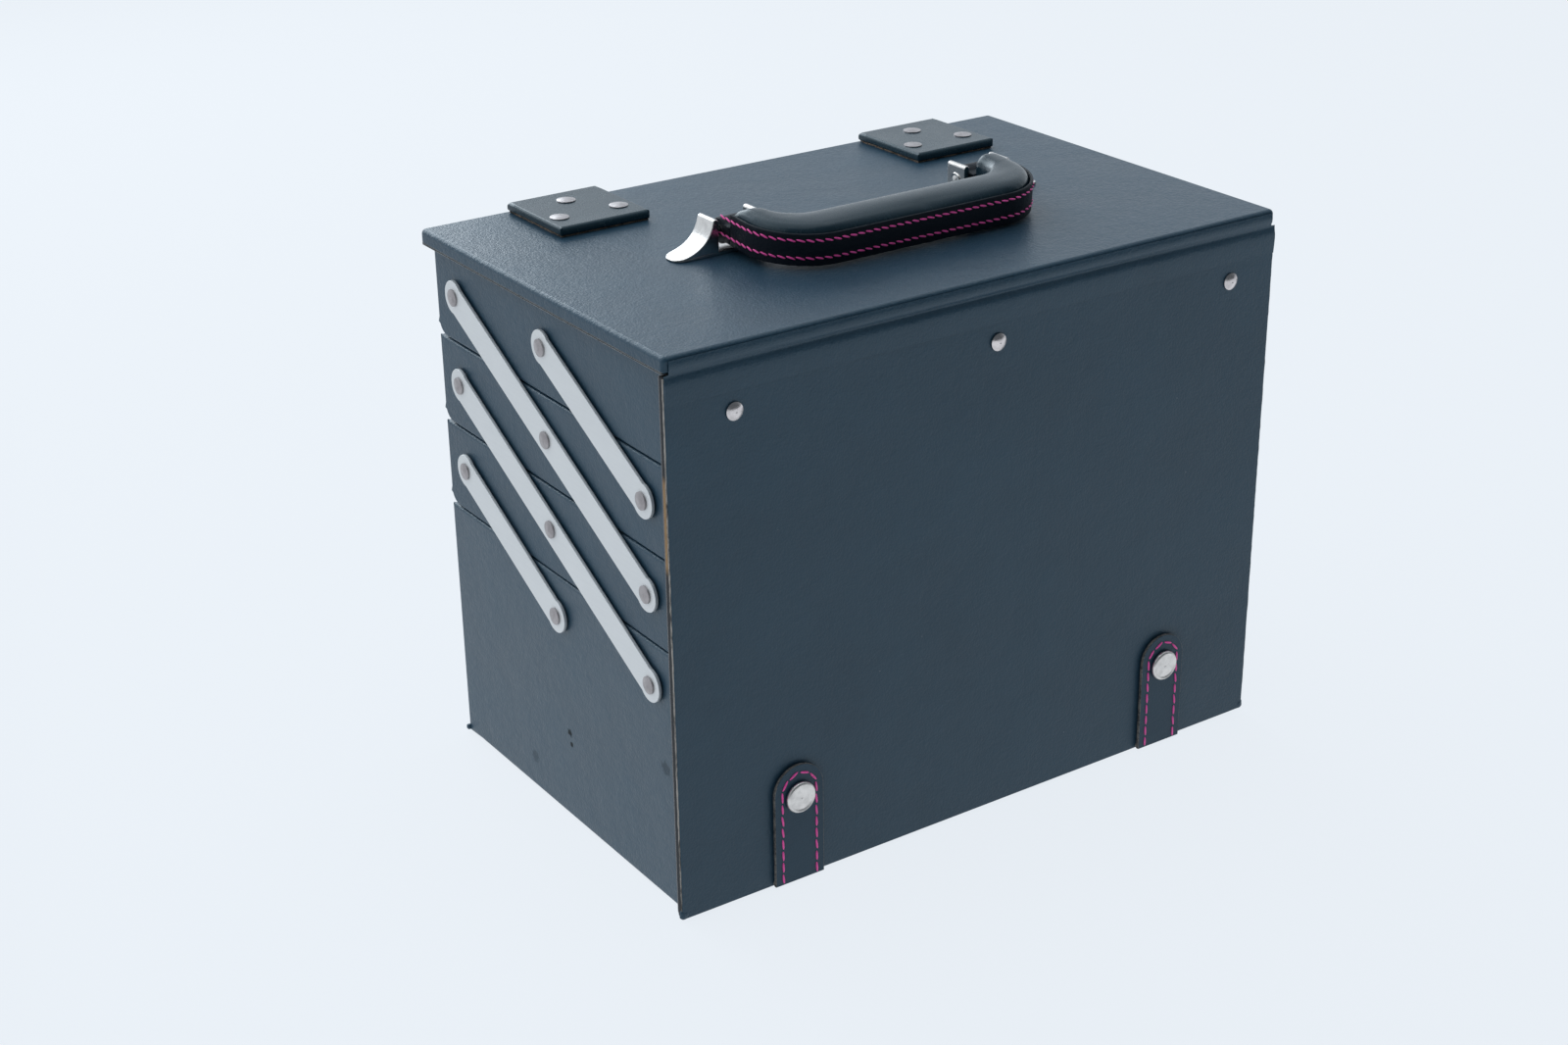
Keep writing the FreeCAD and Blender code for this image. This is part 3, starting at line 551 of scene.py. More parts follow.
# ---------------------------------------------------------------- sole and front straps
# A strap of the same leather is stitched all round in pink thread, screwed down under the base, and
# turned up over the panel to a snap. The rest of the underside is a sheet of grey board.
STRAP_NAVY = (0.0115, 0.0320, 0.0540, 1)
STRAP_NAVY_PALE = (0.0210, 0.0520, 0.0820, 1)
strap_leather = leatherette("strap_leather", STRAP_NAVY, STRAP_NAVY_PALE, 0.42, relief=0.5)
strap_edge = raw_edge_paint("strap_raw_edge", (0.19, 0.18, 0.17, 1), (0.035, 0.036, 0.038, 1), (1, 1, 1))


def thread_paint():
    paint = Paint("pink_thread")
    strands = paint.noise(1500, 3, paint.stretched((1.0, 1.0, 1.0), (0.3, 0.8, 0.5)), 0.6)
    shade = paint.noise(180, 2)
    tone = paint.mix(strands * 0.6 + shade * 0.5, (0.72, 0.020, 0.26, 1), (1.0, 0.110, 0.47, 1))
    return paint.done(
        {"Base Color": tone, "Roughness": 0.55, "Sheen Weight": 0.2}, height=strands, depth=0.12 * MM,
    )


pink_thread = thread_paint()
sole_board = hardboard_paint("sole_board", (0.11, 0.11, 0.115, 1), (0.055, 0.055, 0.058, 1))
finish(sole_board, "base_sole")

STRAP_BACK = 1.6 * MM
STRAP_HALF = 13 * MM
STRAP_BEND = 0.5 * MM


def round_tip(piece, tip_z, radius):
    """Bevel the two through-edges at the tip until they meet in a half circle."""
    only(piece)
    bpy.ops.object.mode_set(mode="EDIT")
    bpy.ops.mesh.select_mode(type="EDGE")
    bpy.ops.mesh.select_all(action="DESELECT")
    bpy.ops.object.mode_set(mode="OBJECT")
    points = piece.data.vertices
    for edge in piece.data.edges:
        ends = [points[index].co for index in edge.vertices]
        through = abs(ends[0].x - ends[1].x) < 1e-6 and abs(ends[0].y - ends[1].y) > 1e-4
        edge.select = through and all(abs(end.z - tip_z) < 1e-6 for end in ends)
    bpy.ops.object.mode_set(mode="EDIT")
    bpy.ops.mesh.bevel(offset=radius, segments=18, affect="EDGES", clamp_overlap=False)
    bpy.ops.mesh.select_all(action="SELECT")
    bpy.ops.mesh.remove_doubles(threshold=2e-5)
    bpy.ops.object.mode_set(mode="OBJECT")


def strap(name, x, face_y, tip_z, turn_z, tail_y):
    """A strap drawn upright with a round tip, turned at its foot and run on as a tail.

    face_y is its outer face, turn_z the height where it starts to turn, tail_y where its tail ends.
    Known fault: the turn goes the wrong way. The tail ought to lie just past turn_z, but it comes out
    0.5 to 2.1 mm short of it, inside the box or the lid, and the foot crosses itself there.
    """
    out = 1 if face_y > 0 else -1
    up = 1 if tip_z > turn_z else -1
    inner_y = face_y - out * STRAP_BACK
    piece = block(
        name,
        (x - STRAP_HALF, min(face_y, inner_y), min(tip_z, turn_z)),
        (x + STRAP_HALF, max(face_y, inner_y), max(tip_z, turn_z)),
    )
    round_tip(piece, tip_z, STRAP_HALF * 0.999)
    centre = (x, inner_y - out * STRAP_BEND, turn_z)
    select_faces(piece, lambda middle, normal: abs(middle.z - turn_z) < 1e-6)
    bpy.ops.mesh.spin(steps=7, angle=math.radians(90), center=centre, axis=(-out * up, 0, 0))
    bpy.ops.mesh.extrude_region_move(TRANSFORM_OT_translate={"value": (0, tail_y - centre[1], 0)})
    bpy.ops.mesh.select_all(action="SELECT")
    bpy.ops.mesh.normals_make_consistent(inside=False)
    bpy.ops.object.mode_set(mode="OBJECT")
    bevel_where(piece, 0.3 * MM, 2, lambda co: True, 50)
    smooth(piece, 45)
    return piece


def raw_sides(piece, turn_z, tip_z):
    """Put the cut-edge material on the faces round the outline."""
    piece.data.materials.append(strap_edge)
    low_z, high_z = sorted((turn_z, tip_z))
    for face in piece.data.polygons:
        upright = low_z < face.center.z < high_z
        if abs(face.normal.x) > 0.35 or (upright and abs(face.normal.y) < 0.8):
            face.material_index = 1


def stitch_row(name, path, seed, length=5.2 * MM, period=5.8 * MM, width=1.1 * MM, slant=5.0):
    """Stitches along a path of (point, outward) pairs: one is modelled, then copied to each place."""
    bpy.ops.object.select_all(action="DESELECT")
    bpy.ops.mesh.primitive_uv_sphere_add(segments=8, ring_count=6, radius=0.5)
    first = bpy.context.object
    first.name = first.data.name = name
    for point in first.data.vertices:
        reach = min(1.0, abs(point.co.z) * 2)
        point.co.z *= 1.0 + 0.25 * (1 - reach)
    dice = random.Random(seed)
    runs = []
    total = 0.0
    for (start, _), (end, _) in zip(path, path[1:]):
        runs.append(total)
        total += (end - start).length
    runs.append(total)
    count = int(total / period)
    stitches = []
    for number in range(count):
        spot = (number + 0.5) * total / count
        index = max(i for i, run in enumerate(runs[:-1]) if run <= spot)
        share = (spot - runs[index]) / (runs[index + 1] - runs[index])
        start, end = path[index][0], path[index + 1][0]
        out = path[index][1].lerp(path[index + 1][1], share).normalized()
        point = start.lerp(end, share)
        along = (end - start).normalized()
        across = out.cross(along).normalized()
        out = along.cross(across).normalized()
        lean = math.radians(slant + dice.uniform(-4, 4))
        heading = along * math.cos(lean) + across * math.sin(lean)
        across = out.cross(heading)
        turn = Matrix((across, out, heading)).transposed().to_4x4()
        size = Matrix.Diagonal((width, width * 0.85, length * dice.uniform(0.94, 1.05), 1))
        stitch = first.copy()
        stitch.data = first.data.copy()
        stitch.data.transform(Matrix.Translation(point + out * width * 0.12) @ turn @ size)
        bpy.context.scene.collection.objects.link(stitch)
        stitches.append(stitch)
    bpy.data.objects.remove(first)
    only(stitches[0])
    for stitch in stitches[1:]:
        stitch.select_set(True)
    bpy.ops.object.join()
    row = stitches[0]
    row.name = row.data.name = name
    bpy.ops.object.shade_smooth()
    row.data.materials.clear()
    row.data.materials.append(pink_thread)
    return row


SEAM_INSET = 4 * MM


def strap_seam(x, face_y, foot_z, tip_z):
    """The line of stitches round a strap: up one side, round the tip, and back."""
    out = Vector((0, 1 if face_y > 0 else -1, 0))
    up = 1 if tip_z > foot_z else -1
    reach = STRAP_HALF - SEAM_INSET
    arc_z = tip_z - up * STRAP_HALF
    path = [Vector((x - reach, face_y, foot_z)), Vector((x - reach, face_y, arc_z))]
    for step in range(1, 12):
        angle = math.radians(180 - 15 * step)
        path.append(Vector((x + reach * math.cos(angle), face_y, arc_z + up * reach * math.sin(angle))))
    path += [Vector((x + reach, face_y, arc_z)), Vector((x + reach, face_y, foot_z))]
    return [(point, out) for point in path]


cap_nickel = nickel_paint("snap_nickel", (0.74, 0.72, 0.70, 1), 0.34, 0.8)
for number, hand in enumerate(("left", "right")):
    low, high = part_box(f"front_strap_{hand}")
    tail_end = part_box(f"front_strap_tail_{hand}")[1].y
    x = (low.x + high.x) / 2
    turn_z = STRAP_BACK + STRAP_BEND
    leather = strap(f"front_strap_leather_{hand}", x, low.y, high.z, turn_z, tail_end)
    leather.data.materials.append(strap_leather)
    raw_sides(leather, turn_z, high.z)
    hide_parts(f"front_strap_{hand}", f"front_strap_tail_{hand}")
    seam_path = strap_seam(x, low.y, 2.5 * MM, high.z)
    seam = stitch_row(f"front_strap_stitches_{hand}", seam_path, 30 + number)
    for piece in (leather, seam):
        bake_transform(piece)
    finish(cap_nickel, f"front_snap_cap_{hand}")

# ---------------------------------------------------------------- lid
# A 5.6 mm board wrapped in leatherette on top and round its edges. The sheet is turned under, and
# its cut edge shows beneath the ends and the back as two thin pale lines above the felt lining.
lid_leather = leatherette("lid_leatherette", NAVY, NAVY_PALE, 0.36, shine=0.33)
low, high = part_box("lid_cover")
lid_top = merged_copy("lid_leather", "lid_cover")
board_low, board_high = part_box("lid_board")
bevel_where(
    lid_top, 0.6 * MM, 3,
    lambda co: abs(co.z - low.z) < NEAR
    and max(abs(co.x) - board_high.x, co.y - board_high.y, board_low.y - co.y) > 0.3 * MM,
)
smooth(lid_top)
dress(lid_top, lid_leather, "lid", "leatherette", "lid_cover")

turned = merged_copy("lid_turned_edge", "lid_lining")
felt_low, felt_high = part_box("lid_lining")
GROW = 1.15 * MM
EDGE_LIFT = 0.15 * MM
for point in turned.data.vertices:
    point.co.x *= (felt_high.x + GROW) / felt_high.x
    point.co.y = felt_low.y + (point.co.y - felt_low.y) * (1 + GROW / (felt_high.y - felt_low.y))
    if point.co.z < (felt_low.z + felt_high.z) / 2:
        point.co.z += EDGE_LIFT


def layered_edge_paint():
    """Two cut layers of cloth-backed vinyl, one above the other, with glue between them."""
    paint = Paint("lid_layered_edge")
    wander = (paint.noise(70, 3) - 0.5) * 0.5 * MM
    layer = paint.axis("Z") - (felt_low.z + EDGE_LIFT) + wander
    upper = paint.step(layer, 0.62 * MM, 0.72 * MM) * (1 - paint.step(layer, 0.92 * MM, 1.0 * MM))
    lower = 1 - paint.step(layer, 0.22 * MM, 0.34 * MM)
    fibre = paint.noise(800, 4, rough=0.7)
    line = (upper + lower) * paint.step(fibre, 0.30, 0.52)
    tone = paint.mix(line, (0.010, 0.012, 0.014, 1), (0.20, 0.212, 0.218, 1))
    return paint.done({"Base Color": tone, "Roughness": 0.85}, height=fibre, depth=0.3 * MM)


dress(turned, layered_edge_paint(), "lid", "backing")
finish(hardboard, "lid_board")
finish(felt, "lid_lining")

# ---------------------------------------------------------------- the leather hinge along the front
# One sheet of leatherette runs from the lid down on to the panel. Between the two boards it is not
# glued, and it sinks into a soft gutter that is shallower at its ends: that fold is the lid's hinge.


def drawn_sheet(name, profile, low_x, high_x, thickness):
    """A sheet drawn along a profile of (y, z) points by extruding its free edge from point to point."""
    bpy.ops.object.select_all(action="DESELECT")
    bpy.ops.mesh.primitive_plane_add(size=1)
    piece = bpy.context.object
    piece.name = piece.data.name = name
    for point, (y, z) in zip(piece.data.vertices, (profile[0], profile[0], profile[1], profile[1])):
        point.co = (high_x if point.co.x > 0 else low_x, y, z)
    only(piece)
    bpy.ops.object.mode_set(mode="EDIT")
    bpy.ops.mesh.select_mode(type="EDGE")
    bpy.ops.mesh.select_all(action="DESELECT")
    bpy.ops.object.mode_set(mode="OBJECT")
    for edge in piece.data.edges:
        edge.select = all(
            abs(piece.data.vertices[index].co.z - profile[1][1]) < 1e-7
            and abs(piece.data.vertices[index].co.y - profile[1][0]) < 1e-7
            for index in edge.vertices
        )
    bpy.ops.object.mode_set(mode="EDIT")
    for (y, z), (next_y, next_z) in zip(profile[1:], profile[2:]):
        bpy.ops.mesh.extrude_region_move(TRANSFORM_OT_translate={"value": (0, next_y - y, next_z - z)})
    bpy.ops.object.mode_set(mode="OBJECT")
    modify(piece, "SUBSURF", levels=2, render_levels=2, boundary_smooth="PRESERVE_CORNERS")
    modify(piece, "SOLIDIFY", thickness=thickness, offset=0)
    only(piece)
    bpy.ops.object.mode_set(mode="EDIT")
    bpy.ops.mesh.select_all(action="SELECT")
    bpy.ops.mesh.normals_make_consistent(inside=False)
    bpy.ops.object.mode_set(mode="OBJECT")
    smooth(piece, 50)
    return piece


spine_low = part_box("lid_spine")[0]
SPINE_PROFILE = [
    (-0.30, 6.8), (0.00, 5.8), (0.26, 4.8), (0.24, 3.6), (-0.05, 2.6), (-0.65, 1.7), (-1.30, 0.9),
    (-1.45, 0.1), (-1.05, -0.7), (-0.40, -1.5), (0.05, -2.5), (0.26, -4.0), (0.22, -7.0), (0.02, -10.0),
    (-0.16, -12.5),
]
SPINE_END = 165.45 * MM
SPINE_TOP_END = 163.2 * MM
SPINE_LEVEL_TO = 152 * MM
SPINE_SHALLOWER = 0.8
spine = drawn_sheet(
    "lid_spine_leather",
    [(spine_low.y - out * MM, spine_low.z + up * MM) for out, up in SPINE_PROFILE],
    -SPINE_END, SPINE_END, 0.35 * MM,
)
for point in spine.data.vertices:
    beyond = max(0.0, (abs(point.co.x) - SPINE_LEVEL_TO) / (SPINE_END - SPINE_LEVEL_TO))
    point.co.y -= SPINE_SHALLOWER * beyond * beyond * max(0.0, point.co.y - spine_low.y)
    if point.co.z > spine_low.z + 0.8 * MM:
        point.co.x = max(-SPINE_TOP_END, min(SPINE_TOP_END, point.co.x))
spine.data.materials.append(navy)
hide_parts("lid_spine")
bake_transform(spine)

# ---------------------------------------------------------------- tabs on the lid
# A stiff plate wrapped in smooth leather holds each rear strap. It sits on a layer of raw tan
# leather whose edge shows below it, and three flat rivets clench it through the lid.
tab_leather = leatherette(
    "tab_leather", (0.0060, 0.0220, 0.0340, 1), (0.0110, 0.0340, 0.0500, 1), 0.25, shine=0.36, relief=0.2,
)
tan_layer = raw_edge_paint("tan_layer", (0.26, 0.19, 0.14, 1), (0.014, 0.011, 0.009, 1), (1, 1, 2))
TAB_LIFT = 0.8 * MM
TAB_RIM, TAB_RIM_WIDTH = 0.25 * MM, 7 * MM
LAYER_INSET, LAYER_DEPTH = 0.9 * MM, 1.2 * MM
for number, hand in enumerate(("left", "right")):
    low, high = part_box(f"lid_tab_{hand}")
    foot = Vector((low.x, low.y, low.z + TAB_LIFT))
    plate = block(f"lid_tab_leather_{hand}", foot, high, (8, 8, 1))
    middle_x, half_x = (low.x + high.x) / 2, (high.x - low.x) / 2
    bevel_where(
        plate, 1.3 * MM, 4,
        lambda co: co.y < high.y and abs(abs(co.x - middle_x) - half_x) < NEAR,
    )
    bevel_where(plate, 1.7 * MM, 5, lambda co: abs(co.z - high.z) < NEAR)
    bevel_where(plate, 0.9 * MM, 3, lambda co: abs(co.z - foot.z) < NEAR)
    for point in plate.data.vertices:
        gap = min(point.co.x - low.x, high.x - point.co.x, point.co.y - low.y, high.y - point.co.y)
        if point.co.z > high.z - 0.1 * MM:
            point.co.z += TAB_RIM * max(0.0, 1 - gap / TAB_RIM_WIDTH)
    smooth(plate)
    dress(plate, tab_leather, "lid", "strap_leather", f"lid_tab_{hand}")
    layer = block(
        f"lid_tab_layer_{hand}",
        (low.x + LAYER_INSET, low.y + LAYER_INSET, low.z),
        (high.x - LAYER_INSET, high.y - 0.5 * MM, low.z + LAYER_DEPTH),
        (36, 36, 2),
    )
    fray(layer, 0.2 * MM, 50 + number)
    smooth(layer, 60)
    dress(layer, tan_layer, "lid", "backing")
finish(dull_nickel, "tab_rivets")

# ---------------------------------------------------------------- rear closing straps
# The same stitched strap comes out from under each tab, turns down over the back of the lid, and
# snaps on to the top tray, which holds the lid shut.
for number, hand in enumerate(("left", "right")):
    low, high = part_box(f"rear_strap_{hand}")
    x = (low.x + high.x) / 2
    turn_z = high.z - 0.6 * MM
    tail_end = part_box(f"lid_tab_{hand}")[1].y - 4 * MM
    leather = strap(f"rear_strap_leather_{hand}", x, high.y, low.z, turn_z, tail_end)
    leather.data.materials.append(strap_leather)
    raw_sides(leather, turn_z, low.z)
    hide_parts(f"rear_strap_{hand}")
    seam_path = strap_seam(x, high.y, turn_z - 1 * MM, low.z)
    seam = stitch_row(f"rear_strap_stitches_{hand}", seam_path, 40 + number)
    for piece in (leather, seam):
        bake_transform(piece)
    finish(cap_nickel, f"rear_snap_cap_{hand}")

# ---------------------------------------------------------------- handle posts and pins
# Each post is one nickel-plated casting: a flat inner wall, and an outer wall whose broad face
# sweeps down into a rounded foot. A headed steel pin crosses both walls and the end of the handle.
bright_nickel = nickel_paint("bright_nickel", (0.66, 0.64, 0.62, 1), 0.17, 0.7)
# The outline is in millimetres, across from the middle of the handle and up from the lid.
POST_MIDDLE = Vector((3.0, -3.0, 261.8)) * MM
INNER_WALL, WALL, OUTER_WALL, FOOT, POST_HEIGHT, PLATE = 56, 3, 83, 102, 16.5, 2
HALF_WIDTH = 6.5
FOOT_ROUND = 6


def bent(first, second, third, fourth, steps):
    """Points along a curve pulled between four handles, without its first point."""
    points = []
    for number in range(1, steps + 1):
        share = number / steps
        rest = 1 - share
        weights = (rest ** 3, 3 * rest ** 2 * share, 3 * rest * share ** 2, share ** 3)
        points.append(tuple(
            sum(weight * handle[axis] for weight, handle in zip(weights, (first, second, third, fourth)))
            for axis in (0, 1)
        ))
    return points


def rounded_top(outer, inner, level):
    """The half-round top of a wall, from its outer face to its inner face."""
    middle, radius = (outer + inner) / 2, (outer - inner) / 2
    return [
        (middle + radius * math.cos(turn), level + abs(radius) * math.sin(turn))
        for turn in (math.radians(angle) for angle in range(0, 181, 30))
    ]


shoulder = POST_HEIGHT - WALL / 2
toe = (FOOT + 0.3, 0.9)
POST_OUTLINE = [(INNER_WALL, 0), (FOOT - FOOT_ROUND, 0), (FOOT - 3, 0), (FOOT - 1, 0), (FOOT, 0.2), toe]
POST_OUTLINE += bent(toe, (FOOT - 7, 2.0), (OUTER_WALL + 2.4, 4.0), (OUTER_WALL, shoulder), 18)
POST_OUTLINE += rounded_top(OUTER_WALL, OUTER_WALL - WALL, shoulder)[1:]
POST_OUTLINE += [(OUTER_WALL - WALL, PLATE), (INNER_WALL + WALL, PLATE)]
POST_OUTLINE += rounded_top(INNER_WALL + WALL, INNER_WALL, shoulder)
for side, hand in ((-1, "left"), (1, "right")):
    bpy.ops.object.select_all(action="DESELECT")
    bpy.ops.mesh.primitive_circle_add(vertices=len(POST_OUTLINE), radius=1, fill_type="NGON")
    post = bpy.context.object
    post.name = post.data.name = f"handle_post_cast_{hand}"
    for point, (across, up) in zip(post.data.vertices, POST_OUTLINE):
        point.co = POST_MIDDLE + Vector((side * across, -HALF_WIDTH, up)) * MM
    bpy.ops.object.mode_set(mode="EDIT")
    bpy.ops.mesh.select_all(action="SELECT")
    bpy.ops.mesh.extrude_region_move(TRANSFORM_OT_translate={"value": (0, 2 * HALF_WIDTH * MM, 0)})
    bpy.ops.mesh.select_all(action="SELECT")
    bpy.ops.mesh.normals_make_consistent(inside=False)
    bpy.ops.object.mode_set(mode="OBJECT")
    bevel_where(post, 0.55 * MM, 3, lambda co: True, 60, clamp=True)
    for point in post.data.vertices:
        reach = (side * (point.co.x - POST_MIDDLE.x) / MM - (FOOT - FOOT_ROUND)) / 6.4
        if reach > 0:
            pinch = math.sqrt(max(0.02, 1 - min(1.0, reach) ** 2.4))
            point.co.y = POST_MIDDLE.y + (point.co.y - POST_MIDDLE.y) * pinch
    smooth(post, 50)
    dress(post, bright_nickel, "lid", "nickel", f"handle_post_{hand}")
finish(bright_nickel, "handle_pins")

# ---------------------------------------------------------------- handle
# A steel core wrapped in foam and satin leather, drawn tight over the top. A plain dull strip is
# stitched on round the outside with two rows of pink thread, and a thin welt covers its top edge.
PIN = Vector((3.0, -3.0, 270.8)) * MM
TILT = math.radians(3.5)
GRIP_LOW = -4.3 * MM
BAND_TOP = GRIP_LOW + 14.0 * MM
HALF, REACH, CORNER = 76 * MM, 51 * MM, 30 * MM


def on_handle(across, back, up):
    """A point given level about the pin, leaned with the handle."""
    return PIN + Vector((
        across, back * math.cos(TILT) - up * math.sin(TILT), back * math.sin(TILT) + up * math.cos(TILT),
    ))


def outer_line(start, up, proud):
    """The outside of the handle from post to post, as (point, outward) pairs."""
    line = []
    spots = [(-HALF, start, -1.0, 0.0), (-HALF, -REACH + CORNER, -1.0, 0.0)]
    for step in range(1, 12):
        angle = math.radians(180 + 7.5 * step)
        spots.append((
            -HALF + CORNER + CORNER * math.cos(angle), -REACH + CORNER + CORNER * math.sin(angle),
            math.cos(angle), math.sin(angle),
        ))
    spots += [(-HALF + CORNER, -REACH, 0.0, -1.0)]
    spots += [(-across, back, -out_x, out_y) for across, back, out_x, out_y in reversed(spots)]
    for across, back, out_x, out_y in spots:
        out = on_handle(out_x, out_y, 0) - PIN
        line.append((on_handle(across, back, up) + out * proud, out))
    return line


grip_leather = leatherette(
    "grip_leather", (0.0050, 0.0170, 0.0260, 1), (0.0090, 0.0260, 0.0390, 1), 0.25, shine=0.36, relief=0.12,
)
strip_leather = leatherette(
    "strip_leather", (0.0020, 0.0040, 0.0085, 1), (0.0040, 0.0070, 0.0130, 1), 0.50, shine=0.2,
)

END_STRETCH, STRETCHED_OVER = 2.2 * MM, 12 * MM
grip = merged_copy("handle_padded_grip", "handle_grip")
grip_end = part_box("handle_grip")[1].y
for point in grip.data.vertices:
    point.co.y += END_STRETCH * max(0.0, 1 - (grip_end - point.co.y) / STRETCHED_OVER)
modify(grip, "REMESH", mode="VOXEL", voxel_size=1.6 * MM)
modify(grip, "SMOOTH", factor=0.5, iterations=10)
PADDING_PRESSURE, PADDING_FRAMES, MOST = 4.0, 20, 1.6 * MM
rest = [point.co.copy() for point in grip.data.vertices]
held = grip.vertex_groups.new(name="held")
for point in grip.data.vertices:
    level = (point.co - PIN).z - (point.co - PIN).y * math.tan(TILT)
    held.add([point.index], 1.0 if level < BAND_TOP - 3 * MM else 0.0, "REPLACE")
cloth = grip.modifiers.new("Padding", "CLOTH")
cloth.settings.use_pressure = True
cloth.settings.uniform_pressure_force = PADDING_PRESSURE
cloth.settings.vertex_group_mass = "held"
cloth.settings.effector_weights.gravity = 0.0
for moment in range(1, PADDING_FRAMES + 1):
    bpy.context.scene.frame_set(moment)
only(grip)
bpy.ops.object.modifier_apply(modifier="Padding")
bpy.context.scene.frame_set(1)
for point, start in zip(grip.data.vertices, rest):
    move = point.co - start
    if move.length > MOST:
        point.co = start + move.normalized() * MOST
modify(grip, "SMOOTH", factor=0.5, iterations=3)
modify(grip, "SUBSURF", levels=1, render_levels=1)
only(grip)
bpy.ops.object.shade_smooth()
dress(grip, grip_leather, "handle", "strap_leather", "handle_grip")

strip = merged_copy("handle_strip", "handle_band")
bevel_where(strip, 0.4 * MM, 2, lambda co: True)
smooth(strip)
dress(strip, strip_leather, "handle", "strap_leather", "handle_band")

UPPER_ROW, LOWER_ROW = BAND_TOP - 2.3 * MM, GRIP_LOW + 3.7 * MM
for row, up in enumerate((UPPER_ROW, LOWER_ROW)):
    stitches = stitch_row(
        f"handle_stitches_{row + 1}", outer_line(-1.5 * MM, up, 0.1 * MM), 60 + row,
        length=4.1 * MM, period=4.1 * MM, width=0.95 * MM, slant=-15,
    )
    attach(stitches, "handle")


def cord_along(name, line, radius):
    """A thin round welt along a line of points."""
    bpy.ops.object.select_all(action="DESELECT")
    bpy.ops.curve.primitive_nurbs_path_add()
    piece = bpy.context.object
    piece.name = piece.data.name = name
    spline = piece.data.splines[0]
    spline.points.add(len(line) - len(spline.points))
    for point, (spot, _) in zip(spline.points, line):
        point.co = (*spot, 1)
    spline.order_u = 3
    spline.use_endpoint_u = True
    piece.data.bevel_depth = radius
    piece.data.bevel_resolution = 3
    piece.data.use_fill_caps = True
    bpy.ops.object.convert(target="MESH")
    piece = bpy.context.object
    bpy.ops.object.shade_smooth()
    return piece


WELT_RADIUS = 0.6 * MM
welt = cord_along("handle_welt", outer_line(-9.0 * MM, BAND_TOP, -WELT_RADIUS), WELT_RADIUS)
dress(welt, strip_leather, "handle", "strap_leather")
for hand in ("left", "right"):
    end = merged_copy(f"handle_end_leather_{hand}", f"handle_end_{hand}")
    bevel_where(end, 0.9 * MM, 3, lambda co: True)
    smooth(end)
    dress(end, strip_leather, "handle", "strap_leather", f"handle_end_{hand}")

# ---------------------------------------------------------------- floor, light and camera
# A pale floor that mostly glows, with a little light from large soft lamps, and the camera above and to
# the left of the front. The floor's glow is painted dimmer off to the left, which darkens the trays' side
# the higher it is.
FLOOR_SIZE = 40
DIM_X, DIM_Y, DIM_FROM = -0.960, 0.279, 0.359
GLOW_SHARE = 0.93
bpy.ops.object.select_all(action="DESELECT")
bpy.ops.mesh.primitive_plane_add(size=FLOOR_SIZE, location=(0, 0, 0))
floor = bpy.context.object
floor.name = floor.data.name = "studio_floor"
paint = Paint("pale_floor")
haze = paint.noise(2, 2)
matt = paint.node(
    "ShaderNodeBsdfDiffuse", {}, {"Color": paint.mix(haze, (0.76, 0.80, 0.84, 1), (0.78, 0.82, 0.86, 1))},
)
# Painted light: GLOW_SHARE of the floor is emitted glow, and a band off to the left gets a darker glow
# colour, a painted dim patch.
aside = paint.axis("Y") * DIM_Y + paint.axis("X") * DIM_X - DIM_FROM
dim = paint.step(aside, 0.0, 0.5) * (1 - paint.step(aside, 0.6, 1.5))
light = paint.mix(dim, (0.835, 0.885, 0.940, 1), (0.64, 0.68, 0.725, 1))
glow = paint.node("ShaderNodeEmission", {}, {"Color": light, "Strength": 1.0})
paint.show(paint.node("ShaderNodeMixShader", {}, {0: GLOW_SHARE, 1: matt, 2: glow}))
floor.data.materials.append(paint.material)

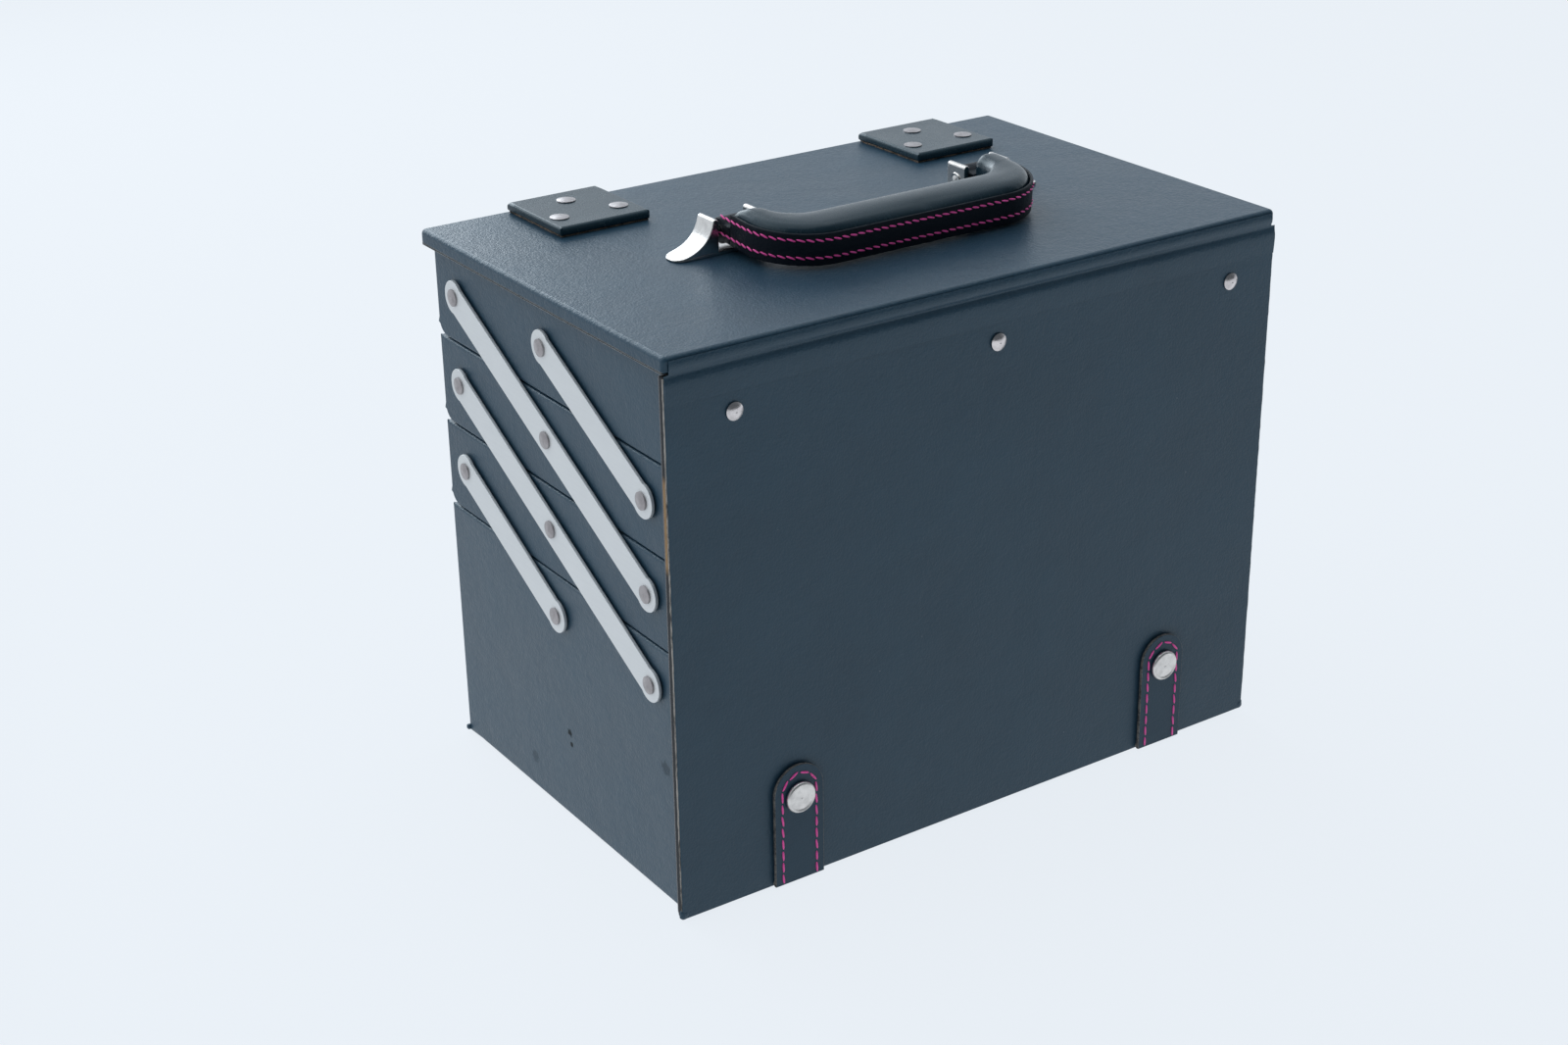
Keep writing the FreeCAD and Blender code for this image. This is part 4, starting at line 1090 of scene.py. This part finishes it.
# The air is bright behind the box and overhead at the back, and dim in front, where the camera stands.
world = bpy.data.worlds.new("studio_air")
bpy.context.scene.world = world
air = Paint("studio_air", world)
BRIGHT_SIDE = (0.20, 0.88, 0.35)
toward = air.node(
    "ShaderNodeVectorMath", {"operation": "DOT_PRODUCT"},
    {0: air.node("ShaderNodeTexCoord", output="Generated"), 1: BRIGHT_SIDE}, output="Value",
)
glare = air.mix(air.step(toward, -0.30, 0.60), (0.115, 0.130, 0.142, 1), (0.86, 0.93, 1.0, 1))
air.show(
    air.node("ShaderNodeBackground", {}, {"Color": glare, "Strength": 1.0}), "ShaderNodeOutputWorld",
)


def softbox(name, place, aim, width, height, power, colour):
    light = bpy.data.lights.new(name, "AREA")
    light.shape = "RECTANGLE"
    light.size = width
    light.size_y = height
    light.energy = power
    light.color = colour
    lamp = bpy.data.objects.new(name, light)
    bpy.context.scene.collection.objects.link(lamp)
    lamp.location = place
    lamp.rotation_euler = (Vector(aim) - Vector(place)).to_track_quat("-Z", "Y").to_euler()


softbox("rear_softbox", (-0.1, 1.7, 0.95), (0, 0, 0.2), 1.5, 0.9, 16, (0.86, 0.94, 1.0))
softbox("left_softbox", (-1.9, 0.2, 1.2), (0, 0, 0.1), 2.0, 2.0, 7, (0.93, 0.97, 1.0))
softbox("overhead_softbox", (-0.2, 0.3, 1.9), (0, 0, 0.2), 2.3, 2.3, 12, (0.92, 0.97, 1.0))

AZIMUTH, ELEVATION, ROLL = math.radians(-33.861), math.radians(24.305), math.radians(-0.875)
CAMERA_PLACE = (-0.62905, -0.87985, 0.59800)
back = Vector((
    math.sin(AZIMUTH) * math.cos(ELEVATION), -math.cos(AZIMUTH) * math.cos(ELEVATION), math.sin(ELEVATION),
))
right = Vector((0, 0, 1)).cross(back).normalized()
upward = back.cross(right)
right, upward = (
    right * math.cos(ROLL) + upward * math.sin(ROLL), upward * math.cos(ROLL) - right * math.sin(ROLL),
)
lens = bpy.data.cameras.new("camera")
lens.lens = 56.319
lens.sensor_width = 36
camera = bpy.data.objects.new("camera", lens)
bpy.context.scene.collection.objects.link(camera)
camera.matrix_world = (
    Matrix.Translation(CAMERA_PLACE) @ Matrix((right, upward, back)).transposed().to_4x4()
)
bpy.context.scene.camera = camera
bpy.context.scene.view_settings.view_transform = "Standard"
